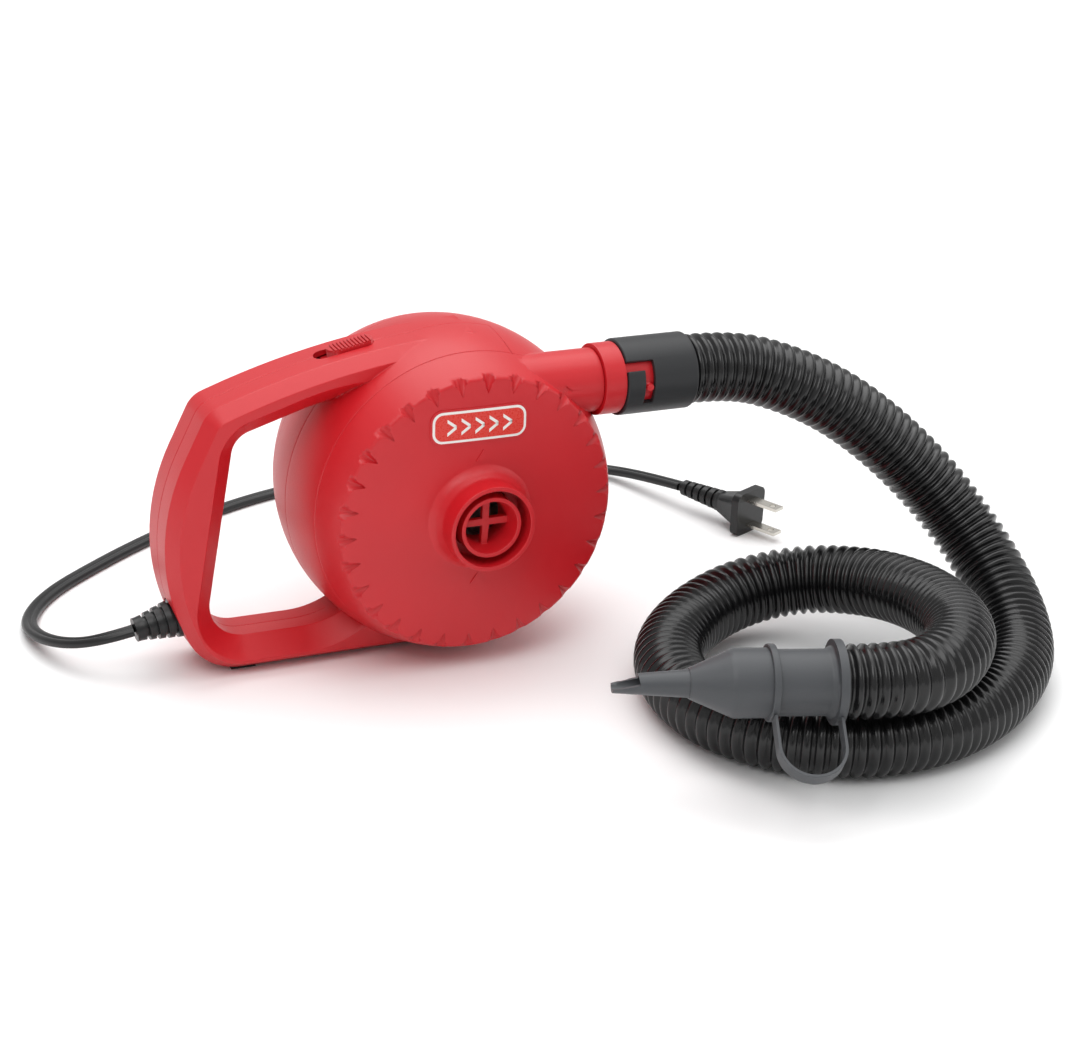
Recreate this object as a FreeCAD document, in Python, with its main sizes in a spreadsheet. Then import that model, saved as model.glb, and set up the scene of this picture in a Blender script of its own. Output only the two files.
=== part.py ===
"""Hand-held electric air mattress pump: barrel blower with a D handle, bayonet hose and nozzle.

Frame, in millimetres: origin on the floor below the blower axis, under the middle foot.
+X points along the outlet pipe, -Y is the face with the inlet port, +Z is up.
The blower axis is parallel to Y at the height axis_z.
"""
import FreeCAD, Part
import math
import os
import Sketcher
from FreeCAD import Placement, Rotation, Vector

doc = FreeCAD.newDocument("AirMattressPump")

# ---------------------------------------------------------------- driving sizes
SIZES = {
    # drum and covers
    "axis_z": 74.0, "drum_r": 72.5, "rim_r": 62.5, "half_w": 42.0, "seam_y": 26.0,
    "wall": 2.4, "gap": 0.2, "fit": 0.03, "run_gap": 0.3, "dome": 3.0, "jog_x": 20.0,
    "notch_count": 30.0, "notch_w": 4.4, "notch_len": 7.0,
    # inlet port
    "port_root_r": 22.0, "port_r": 19.4, "port_lip": 2.0, "port_len": 17.5, "port_band": 8.0,
    "tube_r": 13.8, "tube_wall": 1.8, "bar_w": 3.0,
    # outlet pipe and bayonet
    "pipe_r": 14.0, "pipe_up": 50.0, "pipe_end": 58.3, "ring_r": 15.8, "ring_len": 10.0,
    "spigot_len": 18.0, "pin_r": 1.6, "pin_in": 10.7, "collar_r": 17.0, "collar_len": 34.6,
    "slot_w": 4.5, "slot_up": 42.0, "slot_down": 29.0,
    # handle
    "base_z": 1.5, "arm_reach": 109.0, "arm_fall": 24.0, "arm_bow": 0.676,
    "grip_x": 130.0, "grip_mid": 61.0, "grip_half": 51.0, "grip_bow": 14.3, "base_depth": 14.2,
    "flat_half": 11.0, "ridge_half": 18.0, "ridge_in": 4.5, "inner_half": 9.0, "hand_slope": 8.5,
    "arm_round": 350.0, "knuckle_round": 12.0, "grip_round": 95.0, "heel_round": 26.0,
    "hand_top": 122.0, "hand_x": 99.2,
    "vent_w": 3.0, "vent_in": 24.0, "vent_out": 44.0, "vent_count": 24.0,
    # blower
    "plate_y": -12.0, "plate_t": 2.0, "scroll_t": 1.6, "scroll_start": 45.5, "scroll_end": 52.0,
    "wheel_r": 43.0, "eye_r": 17.0, "wheel_w": 18.0, "disc_t": 1.6, "hub_r": 7.0,
    "blade_t": 1.4, "blade_lag": 42.0, "blade_bow": 42.0, "blade_count": 9.0,
    # motor
    "shaft_r": 2.5, "bush_r": 6.0, "bush_len": 5.4, "fan_r": 19.0, "fan_w": 7.0,
    "stack_y": 9.0, "stack_len": 18.0, "stack_w": 54.0, "stack_tall": 50.0, "yoke": 6.0,
    "core_r": 15.0, "pole_w": 20.0, "coil_t": 2.6, "winding_r": 12.6, "winding_len": 3.4,
    "comm_r": 8.0, "comm_len": 5.2, "brush_w": 5.0, "brush_len": 9.0,
    "motor_screw_x": 24.0, "motor_screw_r": 1.5, "post_r": 4.0,
    # screws
    "tie_circle": 58.0, "tie_post_r": 3.6, "tie_r": 1.5, "boss_r": 3.0, "screw_r": 1.2,
    "head_r": 2.5, "head_t": 2.0,
    # switch
    "switch_x": 47.5, "slot_len": 27.5, "slot_wide": 9.0, "button_len": 21.0, "button_up": 1.8,
    "rib_count": 11.0, "rib_w": 1.0, "switch_len": 22.0, "switch_tall": 8.0, "switch_wide": 11.0,
    # feet, cord and hose
    "foot_t": 1.5, "foot_w": 20.0, "foot_len": 22.0, "cord_w": 7.2, "cord_t": 3.8,
    "relief_r": 9.0, "relief_tip": 5.6, "relief_len": 18.0, "relief_z": 24.0, "relief_tilt": 11.0,
    "hose_r": 15.4, "hose_wall": 1.4, "cuff_r": 13.6, "cuff_len": 27.0, "cuff_flange": 17.5,
    "nozzle_r": 14.25, "nozzle_body": 17.0, "cone_len": 18.0, "tip_len": 31.0, "tip_r": 3.6,
    "tip_root": 5.8, "socket_len": 13.0, "nozzle_wall": 1.9, "strap_w": 6.5, "strap_t": 1.3,
    # plug
    "plug_face": 22.0, "flange_t": 4.0, "plug_len": 13.0, "plug_relief": 26.0, "blade_gap": 12.7,
    "blade_w": 6.35, "blade_thick": 1.5, "blade_len": 17.0, "blade_hole": 1.6,
}

sheet = doc.addObject("Spreadsheet::Sheet", "Sizes")
for row, (alias, value) in enumerate(SIZES.items(), 1):
    sheet.set(f"A{row}", alias)
    sheet.set(f"B{row}", repr(value))
    sheet.setAlias(f"B{row}", alias)
doc.recompute()


# ---------------------------------------------------------------- sizes that carry their expression
class Size(float):
    """A number that also remembers the spreadsheet expression it comes from."""

    def __new__(cls, value, text):
        made = float.__new__(cls, value)
        made.text = text
        return made

    def __add__(self, other):
        return Size(float(self) + float(other), f"({text_of(self)} + {text_of(other)})")

    def __radd__(self, other):
        return Size(float(other) + float(self), f"({text_of(other)} + {text_of(self)})")

    def __sub__(self, other):
        return Size(float(self) - float(other), f"({text_of(self)} - {text_of(other)})")

    def __rsub__(self, other):
        return Size(float(other) - float(self), f"({text_of(other)} - {text_of(self)})")

    def __mul__(self, other):
        return Size(float(self) * float(other), f"({text_of(self)} * {text_of(other)})")

    __rmul__ = __mul__

    def __truediv__(self, other):
        return Size(float(self) / float(other), f"({text_of(self)} / {text_of(other)})")

    def __neg__(self):
        return Size(-float(self), f"(-1 * {text_of(self)})")


def text_of(value):
    return value.text if isinstance(value, Size) else f"({float(value):.6f})"


def root(value):
    return Size(math.sqrt(value), f"sqrt({text_of(value)})")


class Sheet:
    def __getattr__(self, alias):
        return Size(float(sheet.get(alias)), f"Sizes.{alias}")


S = Sheet()
PIECES = []


def bind(target, path, value):
    """Drive one property with an expression, or set it when the value is a plain number."""
    if isinstance(value, Size):
        target.setExpression(path, value.text)
    elif path.startswith("Placement"):
        target.setExpression(path, text_of(value))
    else:
        setattr(target, path, value)


def place(target, x, y, z, turn=None):
    """Put an object at a point, with its coordinates driven by the sheet."""
    target.Placement = Placement(Vector(x, y, z), turn or Rotation())
    for letter, value in zip("xyz", (x, y, z)):
        bind(target, f"Placement.Base.{letter}", value)
    return target


def piece(target, label):
    """Count a finished object as a sub-part under its own name."""
    target.Label = label
    PIECES.append(target)
    return target


# ---------------------------------------------------------------- drawing helpers
def arc_between(a, b, radius):
    """Minor arc from a to b; a positive radius bulges to the right of the way from a to b."""
    start, end = Vector(a[0], a[1], 0), Vector(b[0], b[1], 0)
    chord = end - start
    half = chord.Length / 2
    side = Vector(chord.y, -chord.x, 0).normalize() * (1 if radius > 0 else -1)
    centre = (start + end) * 0.5 - side * math.sqrt(radius * radius - half * half)
    first, last = (math.atan2(p.y - centre.y, p.x - centre.x) for p in (start, end))
    circle = Part.Circle(centre, Vector(0, 0, 1), abs(radius))
    forward = radius > 0
    if not forward:
        first, last = last, first
    return Part.ArcOfCircle(circle, first, last), forward


def sketch(body, name, points, arcs=None, plane="XY_Plane"):
    """Closed outline whose corners, and arc radii, are driven by the sheet."""
    arcs = arcs or {}
    drawing = body.newObject("Sketcher::SketchObject", name)
    flat = next(f for f in body.Origin.OriginFeatures if f.Role == plane)
    drawing.AttachmentSupport = (flat, [""])
    drawing.MapMode = "FlatFace"
    ends = []
    rules = []
    for i, (a, b) in enumerate(zip(points, points[1:] + points[:1])):
        if i in arcs:
            curve, forward = arc_between(a, b, arcs[i])
            drawing.addGeometry(curve)
            rules.append((Sketcher.Constraint("Radius", i, abs(float(arcs[i]))),
                          arcs[i] if arcs[i] > 0 else -arcs[i]))
            ends.append((1, 2) if forward else (2, 1))
        else:
            drawing.addGeometry(Part.LineSegment(Vector(a[0], a[1], 0), Vector(b[0], b[1], 0)))
            ends.append((1, 2))
    count = len(points)
    for i in range(count):
        after = (i + 1) % count
        rules.append((Sketcher.Constraint("Coincident", i, ends[i][1], after, ends[after][0]), None))
    for i, (x, y) in enumerate(points):
        for kind, value, line in (("DistanceX", x, -2), ("DistanceY", y, -1)):
            if float(value) == 0:
                rules.append((Sketcher.Constraint("PointOnObject", i, ends[i][0], line), None))
            else:
                rule = Sketcher.Constraint(kind, -1, 1, i, ends[i][0], float(value))
                rules.append((rule, value))
    for rule, value in rules:
        index = drawing.addConstraint(rule)
        if isinstance(value, Size):
            drawing.setExpression(f"Constraints[{index}]", value.text)
    return drawing


def turned(name, points, arcs=None, about="V_Axis", at=None, turn=None):
    """Body of revolution: V_Axis turns about Y from (radius, y), H_Axis about X from (x, radius)."""
    body = doc.addObject("PartDesign::Body", name)
    drawing = sketch(body, name + "_profile", points, arcs)
    spin = body.newObject("PartDesign::Revolution", name + "_spin")
    spin.Profile = drawing
    spin.ReferenceAxis = (drawing, [about])
    spin.Angle = 360
    place(body, *(at or (0, 0, S.axis_z)), turn)
    return body


def box(name, size, corner, turn=None):
    solid = doc.addObject("Part::Box", name)
    for side, value in zip(("Length", "Width", "Height"), size):
        bind(solid, side, value)
    return place(solid, *corner, turn)


AXIS_TURN = {
    "x": Rotation(Vector(0, 1, 0), 90),
    "y": Rotation(Vector(1, 0, 0), -90),
    "z": Rotation(),
}


def rod(name, radius, length, start, along="y"):
    """Cylinder from its start point along +X, +Y or +Z."""
    solid = doc.addObject("Part::Cylinder", name)
    bind(solid, "Radius", radius)
    bind(solid, "Height", length)
    return place(solid, *start, AXIS_TURN[along])


def fuse(name, *solids):
    joined = doc.addObject("Part::MultiFuse", name)
    joined.Shapes = list(solids)
    return joined


def group(name, *solids):
    held = doc.addObject("Part::Compound", name)
    held.Links = list(solids)
    return held


def cut(name, base, *tools):
    left = doc.addObject("Part::Cut", name)
    left.Base = base
    left.Tool = tools[0] if len(tools) == 1 else fuse(name + "_tools", *tools)
    return left


def common(name, *solids):
    kept = doc.addObject("Part::MultiCommon", name)
    kept.Shapes = list(solids)
    return kept


def shaped(name, shape, placement=None):
    made = doc.addObject("Part::Feature", name)
    made.Shape = shape
    if placement:
        made.Placement = placement
    return made


def on_circle(radius, degrees):
    """Offset (x, z) of a point on a circle round the blower axis."""
    return (Size(radius * math.cos(math.radians(degrees)), f"({text_of(radius)} * cos({degrees} deg))"),
            Size(radius * math.sin(math.radians(degrees)), f"({text_of(radius)} * sin({degrees} deg))"))


# ---------------------------------------------------------------- drum and covers
barrel_arc = (S.half_w * S.half_w + (S.drum_r - S.rim_r) * (S.drum_r - S.rim_r)) / (
    2 * (S.drum_r - S.rim_r))


def barrel(y, inset=0.0):
    """Radius of the barrel at the distance y from its middle."""
    return S.drum_r - barrel_arc + root((barrel_arc - inset) * (barrel_arc - inset) - y * y)


face_y = S.half_w + S.dome
inside_y = face_y - S.wall
cavity_edge = S.half_w - S.wall
cavity = turned("cavity", [
    (0, -inside_y), (S.port_root_r, -inside_y), (barrel(cavity_edge, S.wall), -cavity_edge),
    (barrel(cavity_edge, S.wall), cavity_edge), (S.port_root_r, inside_y), (0, inside_y)],
    arcs={2: barrel_arc - S.wall})
band = turned("band", [(0, -S.seam_y), (barrel(S.seam_y), -S.seam_y),
                       (barrel(S.seam_y), S.seam_y), (0, S.seam_y)], arcs={1: barrel_arc})
pipe_z = S.axis_z + S.pipe_up
pipe_outer = rod("pipe_outer", S.pipe_r, S.pipe_end - S.jog_x, (S.jog_x, -S.seam_y, pipe_z), "x")
pipe_bore = rod("pipe_bore", S.pipe_r - S.wall + 0.4, S.pipe_end, (S.jog_x - 6, -S.seam_y, pipe_z), "x")
ring_relief = rod("ring_relief", S.ring_r + S.gap, S.ring_len + 4, (S.pipe_end, -S.seam_y, pipe_z), "x")


def rim_notches(name, side):
    """Ring of small pointed scallops cut into the rim of a cover."""
    cones = []
    step = 360.0 / S.notch_count
    for i in range(int(S.notch_count)):
        angle = 4 + i * step
        x, z = on_circle(S.rim_r + 1.5, angle)
        cone = doc.addObject("Part::Cone", f"{name}_{i}")
        bind(cone, "Radius1", S.notch_w / 2)
        bind(cone, "Radius2", 0)
        bind(cone, "Height", S.notch_len)
        inward = Vector(-math.cos(math.radians(angle)), 0, -math.sin(math.radians(angle)))
        cones.append(place(cone, x, side * S.half_w, S.axis_z + z, Rotation(Vector(0, 0, 1), inward)))
    return group(name, *cones)


port_end = S.half_w + S.port_len
socket_r = S.port_r - S.port_lip
front_blank = turned("front_blank", [
    (S.tube_r + S.gap, -S.seam_y), (barrel(S.seam_y), -S.seam_y), (S.rim_r, -S.half_w),
    (S.rim_r - 1.2, -S.half_w - 0.8), (S.port_root_r + 2, -face_y), (S.port_root_r, -face_y - 1.5),
    (S.port_r, -port_end + S.port_band), (S.port_r, -port_end), (socket_r, -port_end),
    (socket_r, -face_y - 0.6), (S.tube_r + S.gap, -face_y - 0.6)], arcs={1: -barrel_arc})
front_side = box("front_side", (400, 100, 400), (-200, -100 - S.seam_y, -100))
front_pipe = common("front_pipe", pipe_outer, front_side)
tie_angles = (0, 120, 240)


def tie_posts(name, y_from, y_to, radius):
    """Three round posts, or the holes in them, parallel to the blower axis."""
    made = []
    for angle in tie_angles:
        x, z = on_circle(S.tie_circle, angle)
        made.append(rod(f"{name}_{angle}", radius, y_to - y_from, (x, y_from, S.axis_z + z)))
    return made


front_posts = tie_posts("front_post", -cavity_edge - 0.6, S.plate_y, S.tie_post_r)
front_shell = cut("front_shell", fuse("front_solid", front_blank, front_pipe), cavity, pipe_bore)
front_cover = piece(cut(
    "front_cover_body", fuse("front_with_posts", front_shell, *front_posts),
    rim_notches("front_notches", -1), ring_relief,
    *tie_posts("front_pilot", S.plate_y - 20, S.plate_y, S.tie_r + S.fit)),
    "front_cover")

rear_blank = turned("rear_blank", [
    (0, S.seam_y), (barrel(S.seam_y), S.seam_y), (S.rim_r, S.half_w), (S.rim_r - 1.2, S.half_w + 0.8),
    (S.port_root_r, face_y), (0, face_y)], arcs={1: barrel_arc})
plate_back = S.plate_y + S.plate_t
rear_posts = tie_posts("rear_post", plate_back, cavity_edge + 0.6, S.tie_post_r)
vents = []
for i in range(int(S.vent_count)):
    turn = Rotation(Vector(0, 1, 0), -i * 360.0 / S.vent_count)
    corner = turn.multVec(Vector(S.vent_in, 0, -S.vent_w / 2))
    slot = doc.addObject("Part::Box", f"vent_{i}")
    bind(slot, "Length", S.vent_out - S.vent_in)
    bind(slot, "Width", 12)
    bind(slot, "Height", S.vent_w)
    slot.Placement = Placement(Vector(corner.x, cavity_edge - 2, S.axis_z + corner.z), turn)
    vents.append(slot)
rear_shell = cut("rear_shell", rear_blank, cavity)
head_y = S.half_w - 5
rear_cover = piece(cut(
    "rear_cover_body", fuse("rear_with_posts", rear_shell, *rear_posts),
    rim_notches("rear_notches", 1), group("vents", *vents),
    *tie_posts("rear_clear", plate_back, face_y, S.tie_r + S.gap),
    *tie_posts("rear_sink", head_y, face_y + 5, S.head_r + 2 * S.gap)), "rear_cover")
doc.recompute()
print("covers", front_cover.Shape.isValid(), rear_cover.Shape.isValid(),
      len(front_cover.Shape.Solids), len(rear_cover.Shape.Solids))


# ---------------------------------------------------------------- D handle
def inset_outline(corners, inset):
    """Move each side of a convex outline inwards and meet the sides again."""
    middle = (sum(c[0] for c in corners) / len(corners), sum(c[1] for c in corners) / len(corners))
    lines = []
    for a, b in zip(corners, corners[1:] + corners[:1]):
        length = math.hypot(b[0] - a[0], b[1] - a[1])
        normal = ((b[1] - a[1]) / length, -(b[0] - a[0]) / length)
        if (middle[0] - a[0]) * normal[0] + (middle[1] - a[1]) * normal[1] < 0:
            normal = (-normal[0], -normal[1])
        lines.append((normal, normal[0] * a[0] + normal[1] * a[1] + inset))
    met = []
    for (n1, c1), (n2, c2) in zip(lines[-1:] + lines[:-1], lines):
        det = n1[0] * n2[1] - n1[1] * n2[0]
        met.append(((c1 * n2[1] - c2 * n1[1]) / det, (n1[0] * c2 - n2[0] * c1) / det))
    return met


def rounded(points, radii):
    """Closed wire through the points, with an arc of its own radius at each corner that has one."""
    if not isinstance(radii, list):
        radii = [radii] * len(points)
    spots = []
    for i, here in enumerate(points):
        u = (points[i - 1] - here).normalize()
        v = (points[(i + 1) % len(points)] - here).normalize()
        half = u.getAngle(v) / 2
        reach = radii[i] / math.tan(half)
        middle = here + (u + v).normalize() * (radii[i] / math.sin(half) - radii[i])
        spots.append((here + u * reach, middle, here + v * reach))
    edges = []
    for i, (start, middle, end) in enumerate(spots):
        if radii[i]:
            edges.append(Part.Arc(start, middle, end).toShape())
        edges.append(Part.LineSegment(end, spots[(i + 1) % len(spots)][0]).toShape())
    return Part.Wire(edges)


def arm_line(share):
    """Point on the top line of the arm, from the drum's crown (0) to the knuckle (1)."""
    fall = S.arm_fall * ((1 - S.arm_bow) * share + S.arm_bow * share * share)
    return -S.arm_reach * share, S.axis_z + S.drum_r - fall


def arm_slope(share):
    return S.arm_fall * ((1 - S.arm_bow) + 2 * S.arm_bow * share) / S.arm_reach


def grip_line(z):
    """Point on the outer line of the grip at the height z."""
    lift = (z - S.grip_mid) / S.grip_half
    return -S.grip_x + S.grip_bow * lift * lift, z


def grip_lean(z):
    """How far the grip's outer line moves along X for each millimetre upwards."""
    return 2 * S.grip_bow * (z - S.grip_mid) / (S.grip_half * S.grip_half)


def meeting(p, u, q, v):
    """Where the line through p along u meets the line through q along v, all of them (x, z)."""
    det = u[0] * v[1] - u[1] * v[0]
    share = ((q[0] - p[0]) * v[1] - (q[1] - p[1]) * v[0]) / det
    return p[0] + share * u[0], p[1] + share * u[1]


def outline_corners():
    """Corners (x, z, radius) of the D: the drum end, then the arm, the knuckle, the grip and the heel."""
    grip_high = S.grip_mid + 42
    grip_low = S.grip_mid - 41
    high_way = (grip_lean(grip_high), 1)
    low_way = (grip_lean(grip_low), 1)
    arm_bend = meeting(arm_line(0), (1, arm_slope(0)), arm_line(1), (1, arm_slope(1)))
    knuckle = meeting(arm_line(1), (1, arm_slope(1)), grip_line(grip_high), high_way)
    grip_bend = meeting(grip_line(grip_high), high_way, grip_line(grip_low), low_way)
    heel = meeting(grip_line(grip_low), low_way, (0, S.base_z), (1, 0))
    return [(16.0, float(S.base_z), 0), (8.0, S.axis_z + S.drum_r - 0.5, 0),
            (*arm_bend, float(S.arm_round)), (*knuckle, float(S.knuckle_round)),
            (*grip_bend, float(S.grip_round)), (*heel, float(S.heel_round))]


def hand_corners():
    """Corners (x, z, radius) of the hand opening; its drum side lies inside the drum."""
    base_top = S.base_z + S.base_depth
    return [(-20.0, S.hand_top + 0.2, 0), (-55.0, float(S.hand_top), 100.0),
            (-S.hand_x, S.hand_top - 13.9, 11.0), (-S.hand_x - 12.4, base_top, 16.0),
            (-58.0, base_top, 40.0), (-28.0, base_top + 16.0, 0)]


def side_levels(half, rise, run, wall, reach):
    """Levels (y, growth) of a ring whose outline grows by rise over the run beyond the half width.

    With a wall, the same sides lie that far inside the material. They end at the half width reach.
    """
    sign = math.copysign(1, rise)
    shift = sign * wall * math.hypot(rise, run) / run
    corner = half + (sign * wall - shift) * run / rise
    end = rise / run * (reach - half) + shift
    return [(-reach, end), (-corner, sign * wall), (corner, sign * wall), (reach, end)]


def ring_solid(name, corners, levels):
    """Solid between closed outlines, each the same corners grown by its own amount at its own y."""
    wires = []
    for y, grown in levels:
        spots = [Vector(x, y, z) for x, z in inset_outline([c[:2] for c in corners], -grown)]
        wires.append(rounded(spots, [c[2] + grown if c[2] else 0 for c in corners]))
    return shaped(name, Part.makeLoft(wires, True, True))


def handle_solid(name, wall, reach):
    """The D of the handle, or the same D with its whole surface moved a wall inwards."""
    block = ring_solid(name + "_block", outline_corners(), side_levels(
        float(S.flat_half), -float(S.ridge_in), S.ridge_half - S.flat_half, wall, reach))
    opening = ring_solid(name + "_opening", hand_corners(), side_levels(
        float(S.inner_half), float(S.hand_slope), S.ridge_half - S.inner_half, wall, reach + 1))
    return cut(name, block, opening)


handle_outer = handle_solid("handle_outer", 0.0, float(S.ridge_half))
handle_inner = handle_solid("handle_inner", float(S.wall), S.ridge_half - S.wall)


# ---------------------------------------------------------------- handle shells
reach_x = 200.0
front_zone = box("front_zone", (reach_x + S.jog_x, S.seam_y, 260), (-reach_x, -S.seam_y, S.base_z))
all_zone = box("all_zone", (2 * reach_x, 2 * S.seam_y, 260), (-reach_x, -S.seam_y, S.base_z))
hull = fuse("hull", band, handle_outer, pipe_outer)

# screw bosses stand in the middle of the knuckle, the grip and the heel
boss_spots = [(-106.0, 112.2), (-118.0, 51.3), (-95.0, 8.6)]


def bosses(name, radius, y_from, y_to):
    made = []
    for number, (x, z) in enumerate(boss_spots):
        made.append(rod(f"{name}_{number}", radius, y_to - y_from, (x, y_from, z)))
    return made


boss_bars = common("boss_bars", handle_outer, group("boss_rods", *bosses("boss", S.boss_r, -30.0, 30.0)))

# gland of the cord: a thick seat on the lower end of the grip
gland_x, gland_z = grip_line(S.relief_z)
gland_turn = Rotation(Vector(0, 1, 0), 180 - float(S.relief_tilt))
gland = Placement(Vector(gland_x, 0, gland_z), gland_turn)


def in_frame(solid, frame, x, y, z, turn=None):
    """Place a solid by coordinates counted in a turned frame."""
    solid.Placement = frame.multiply(Placement(Vector(x, y, z), turn or Rotation()))
    return solid


def gland_rod(name, radius, start, length):
    solid = doc.addObject("Part::Cylinder", name)
    bind(solid, "Radius", radius)
    bind(solid, "Height", length)
    return in_frame(solid, gland, start, 0, 0, AXIS_TURN["x"])


seat_in = 1.9
gland_in = 7.0
gland_block = common("gland_block", handle_outer, gland_rod("gland_bar", S.relief_r + 1.5, -gland_in, 14))

# switch: frame on the top line of the arm, X' along the arm towards the drum, Z' outwards
switch_share = float(S.switch_x / S.arm_reach)
switch_px, switch_pz = arm_line(switch_share)
switch_slope = math.atan(arm_slope(switch_share))
switch_frame = Placement(Vector(switch_px, 0, switch_pz),
                         Rotation(Vector(0, 1, 0), -math.degrees(switch_slope)))


def switch_box(name, length, width, tall, x, z):
    """Box centred on X' = x and on Y, with its underside at Z' = z."""
    solid = doc.addObject("Part::Box", name)
    bind(solid, "Length", length)
    bind(solid, "Width", width)
    bind(solid, "Height", tall)
    return in_frame(solid, switch_frame, x - length / 2, -width / 2, z)


def switch_pill(name, length, width, tall, x, z):
    """Round-ended bar centred on X' = x, with its underside at Z' = z."""
    straight = switch_box(name + "_middle", length - width, width, tall, x, z)
    ends = []
    for side in (-1, 1):
        end = doc.addObject("Part::Cylinder", f"{name}_end_{side + 1}")
        bind(end, "Radius", width / 2)
        bind(end, "Height", tall)
        ends.append(in_frame(end, switch_frame, x + side * (length - width) / 2, 0, z))
    return fuse(name, straight, *ends)


flange_top = -(S.wall + 0.8)
flange_t = 1.0
switch_top = flange_top - flange_t - 0.8
switch_slot = switch_pill("switch_slot", S.slot_len, S.slot_wide, 8.0, 0.0, -4.0)
switch_shelf = common("switch_shelf", handle_outer, switch_box(
    "shelf_bar", S.switch_len - 4, 30.0, 8.0, 0.0, switch_top - S.switch_tall - 8.0))

shell_solid = cut("shell_solid", hull, cavity, handle_inner, pipe_bore)
shell_ribs = cut("shell_ribs", fuse("ribs", boss_bars, gland_block, switch_shelf), cavity)
shell_whole = cut(
    "shell_whole", fuse("shell_ribbed", shell_solid, shell_ribs), switch_slot, ring_relief,
    gland_rod("gland_hole", S.relief_tip - 0.8 + S.gap, -20, 30),
    gland_rod("gland_face", S.relief_r + 0.3, -seat_in, 25),
    *bosses("pilot", S.screw_r + S.fit, -11.0, 0.0), *bosses("clear", S.screw_r + S.gap, 0.0, 30.0),
    *bosses("sink", S.head_r + S.gap, 9.0, 30.0))
handle_shell_front = piece(common("shell_front_body", shell_whole, front_zone), "handle_shell_front")
rear_zone = cut("rear_zone", all_zone, front_zone)
handle_shell_rear = piece(common("shell_rear_body", shell_whole, rear_zone), "handle_shell_rear")

# ---------------------------------------------------------------- port and pipe fittings
grille_y = -port_end + 2.0
grille_back = -(inside_y - S.gap)
grille_tube = turned("grille_tube", [
    (S.tube_r - S.tube_wall, grille_y), (S.tube_r, grille_y), (S.tube_r, grille_back),
    (S.port_root_r - 4, grille_back), (S.port_root_r - 4, grille_back + 1.6),
    (S.tube_r - S.tube_wall - 2, grille_back + 1.6), (S.tube_r - S.tube_wall - 2, grille_y + 8)])
bar_y = grille_y + 7
bars = [box("bar_flat", (2 * S.tube_r - S.tube_wall, 2.5, S.bar_w),
            (-(S.tube_r - S.tube_wall / 2), bar_y, S.axis_z - S.bar_w / 2)),
        box("bar_upright", (S.bar_w, 2.5, 2 * S.tube_r - S.tube_wall),
            (-S.bar_w / 2, bar_y, S.axis_z - S.tube_r + S.tube_wall / 2))]
piece(fuse("grille_body", grille_tube, *bars), "port_grille")

pipe_at = (0, -S.seam_y, pipe_z)
ring_from = S.pipe_end + S.gap
ring_to = ring_from + S.ring_len
spigot_to = ring_to + S.spigot_len
bore_r = S.pipe_r - S.wall + 0.4
spigot_r = S.collar_r - S.wall - S.gap
nipple_turned = turned("nipple_turned", [
    (ring_from - 8, bore_r - 1.6), (ring_from - 8, bore_r - S.gap), (ring_from, bore_r - S.gap),
    (ring_from, S.ring_r), (ring_to, S.ring_r), (ring_to, spigot_r), (spigot_to, spigot_r),
    (spigot_to, bore_r - 0.6), (ring_from + 2, bore_r - 0.6)], about="H_Axis", at=pipe_at)
pin_x = ring_to + S.pin_in
pins = [rod("pin_front", S.pin_r, 3.4, (pin_x, -S.seam_y - S.collar_r + 0.2, pipe_z)),
        rod("pin_rear", S.pin_r, 3.4, (pin_x, -S.seam_y + S.collar_r - 3.6, pipe_z))]
piece(fuse("nipple_body", nipple_turned, *pins), "outlet_nipple")

collar_from = ring_to + S.gap
collar_to = ring_to + S.collar_len
collar_turned = turned("collar_turned", [
    (collar_from, S.collar_r - S.wall), (collar_from, S.collar_r - 0.6), (collar_from + 0.6, S.collar_r),
    (collar_to - 0.6, S.collar_r), (collar_to, S.collar_r - 0.6), (collar_to, S.hose_r - 2),
    (spigot_to + S.gap, S.hose_r - 2), (spigot_to + S.gap, S.collar_r - S.wall)],
    about="H_Axis", at=pipe_at)


def sector(name, high, low, x_from, x_to):
    """Wedge about the pipe axis between two angles counted up from the -Y side."""
    wedge = doc.addObject("Part::Cylinder", name)
    bind(wedge, "Radius", S.collar_r + 2)
    bind(wedge, "Height", x_to - x_from)
    bind(wedge, "Angle", high - low)
    turn = AXIS_TURN["x"].multiply(Rotation(Vector(0, 0, 1), -90 - high))
    return place(wedge, x_from, -S.seam_y, pipe_z, turn)


entry_angle = 180 / math.pi * S.slot_w / S.collar_r
slots = []
for side, flip in (("front", 0.0), ("rear", 180.0)):
    slots.append(sector(f"entry_{side}", S.slot_up + flip, S.slot_up + flip - entry_angle,
                        collar_from - 1, pin_x + S.slot_w / 2))
    slots.append(sector(f"lock_{side}", S.slot_up + flip, flip - S.slot_down,
                        pin_x - S.slot_w / 2, pin_x + S.slot_w / 2))
piece(cut("collar_body", collar_turned, *slots), "hose_collar")

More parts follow.
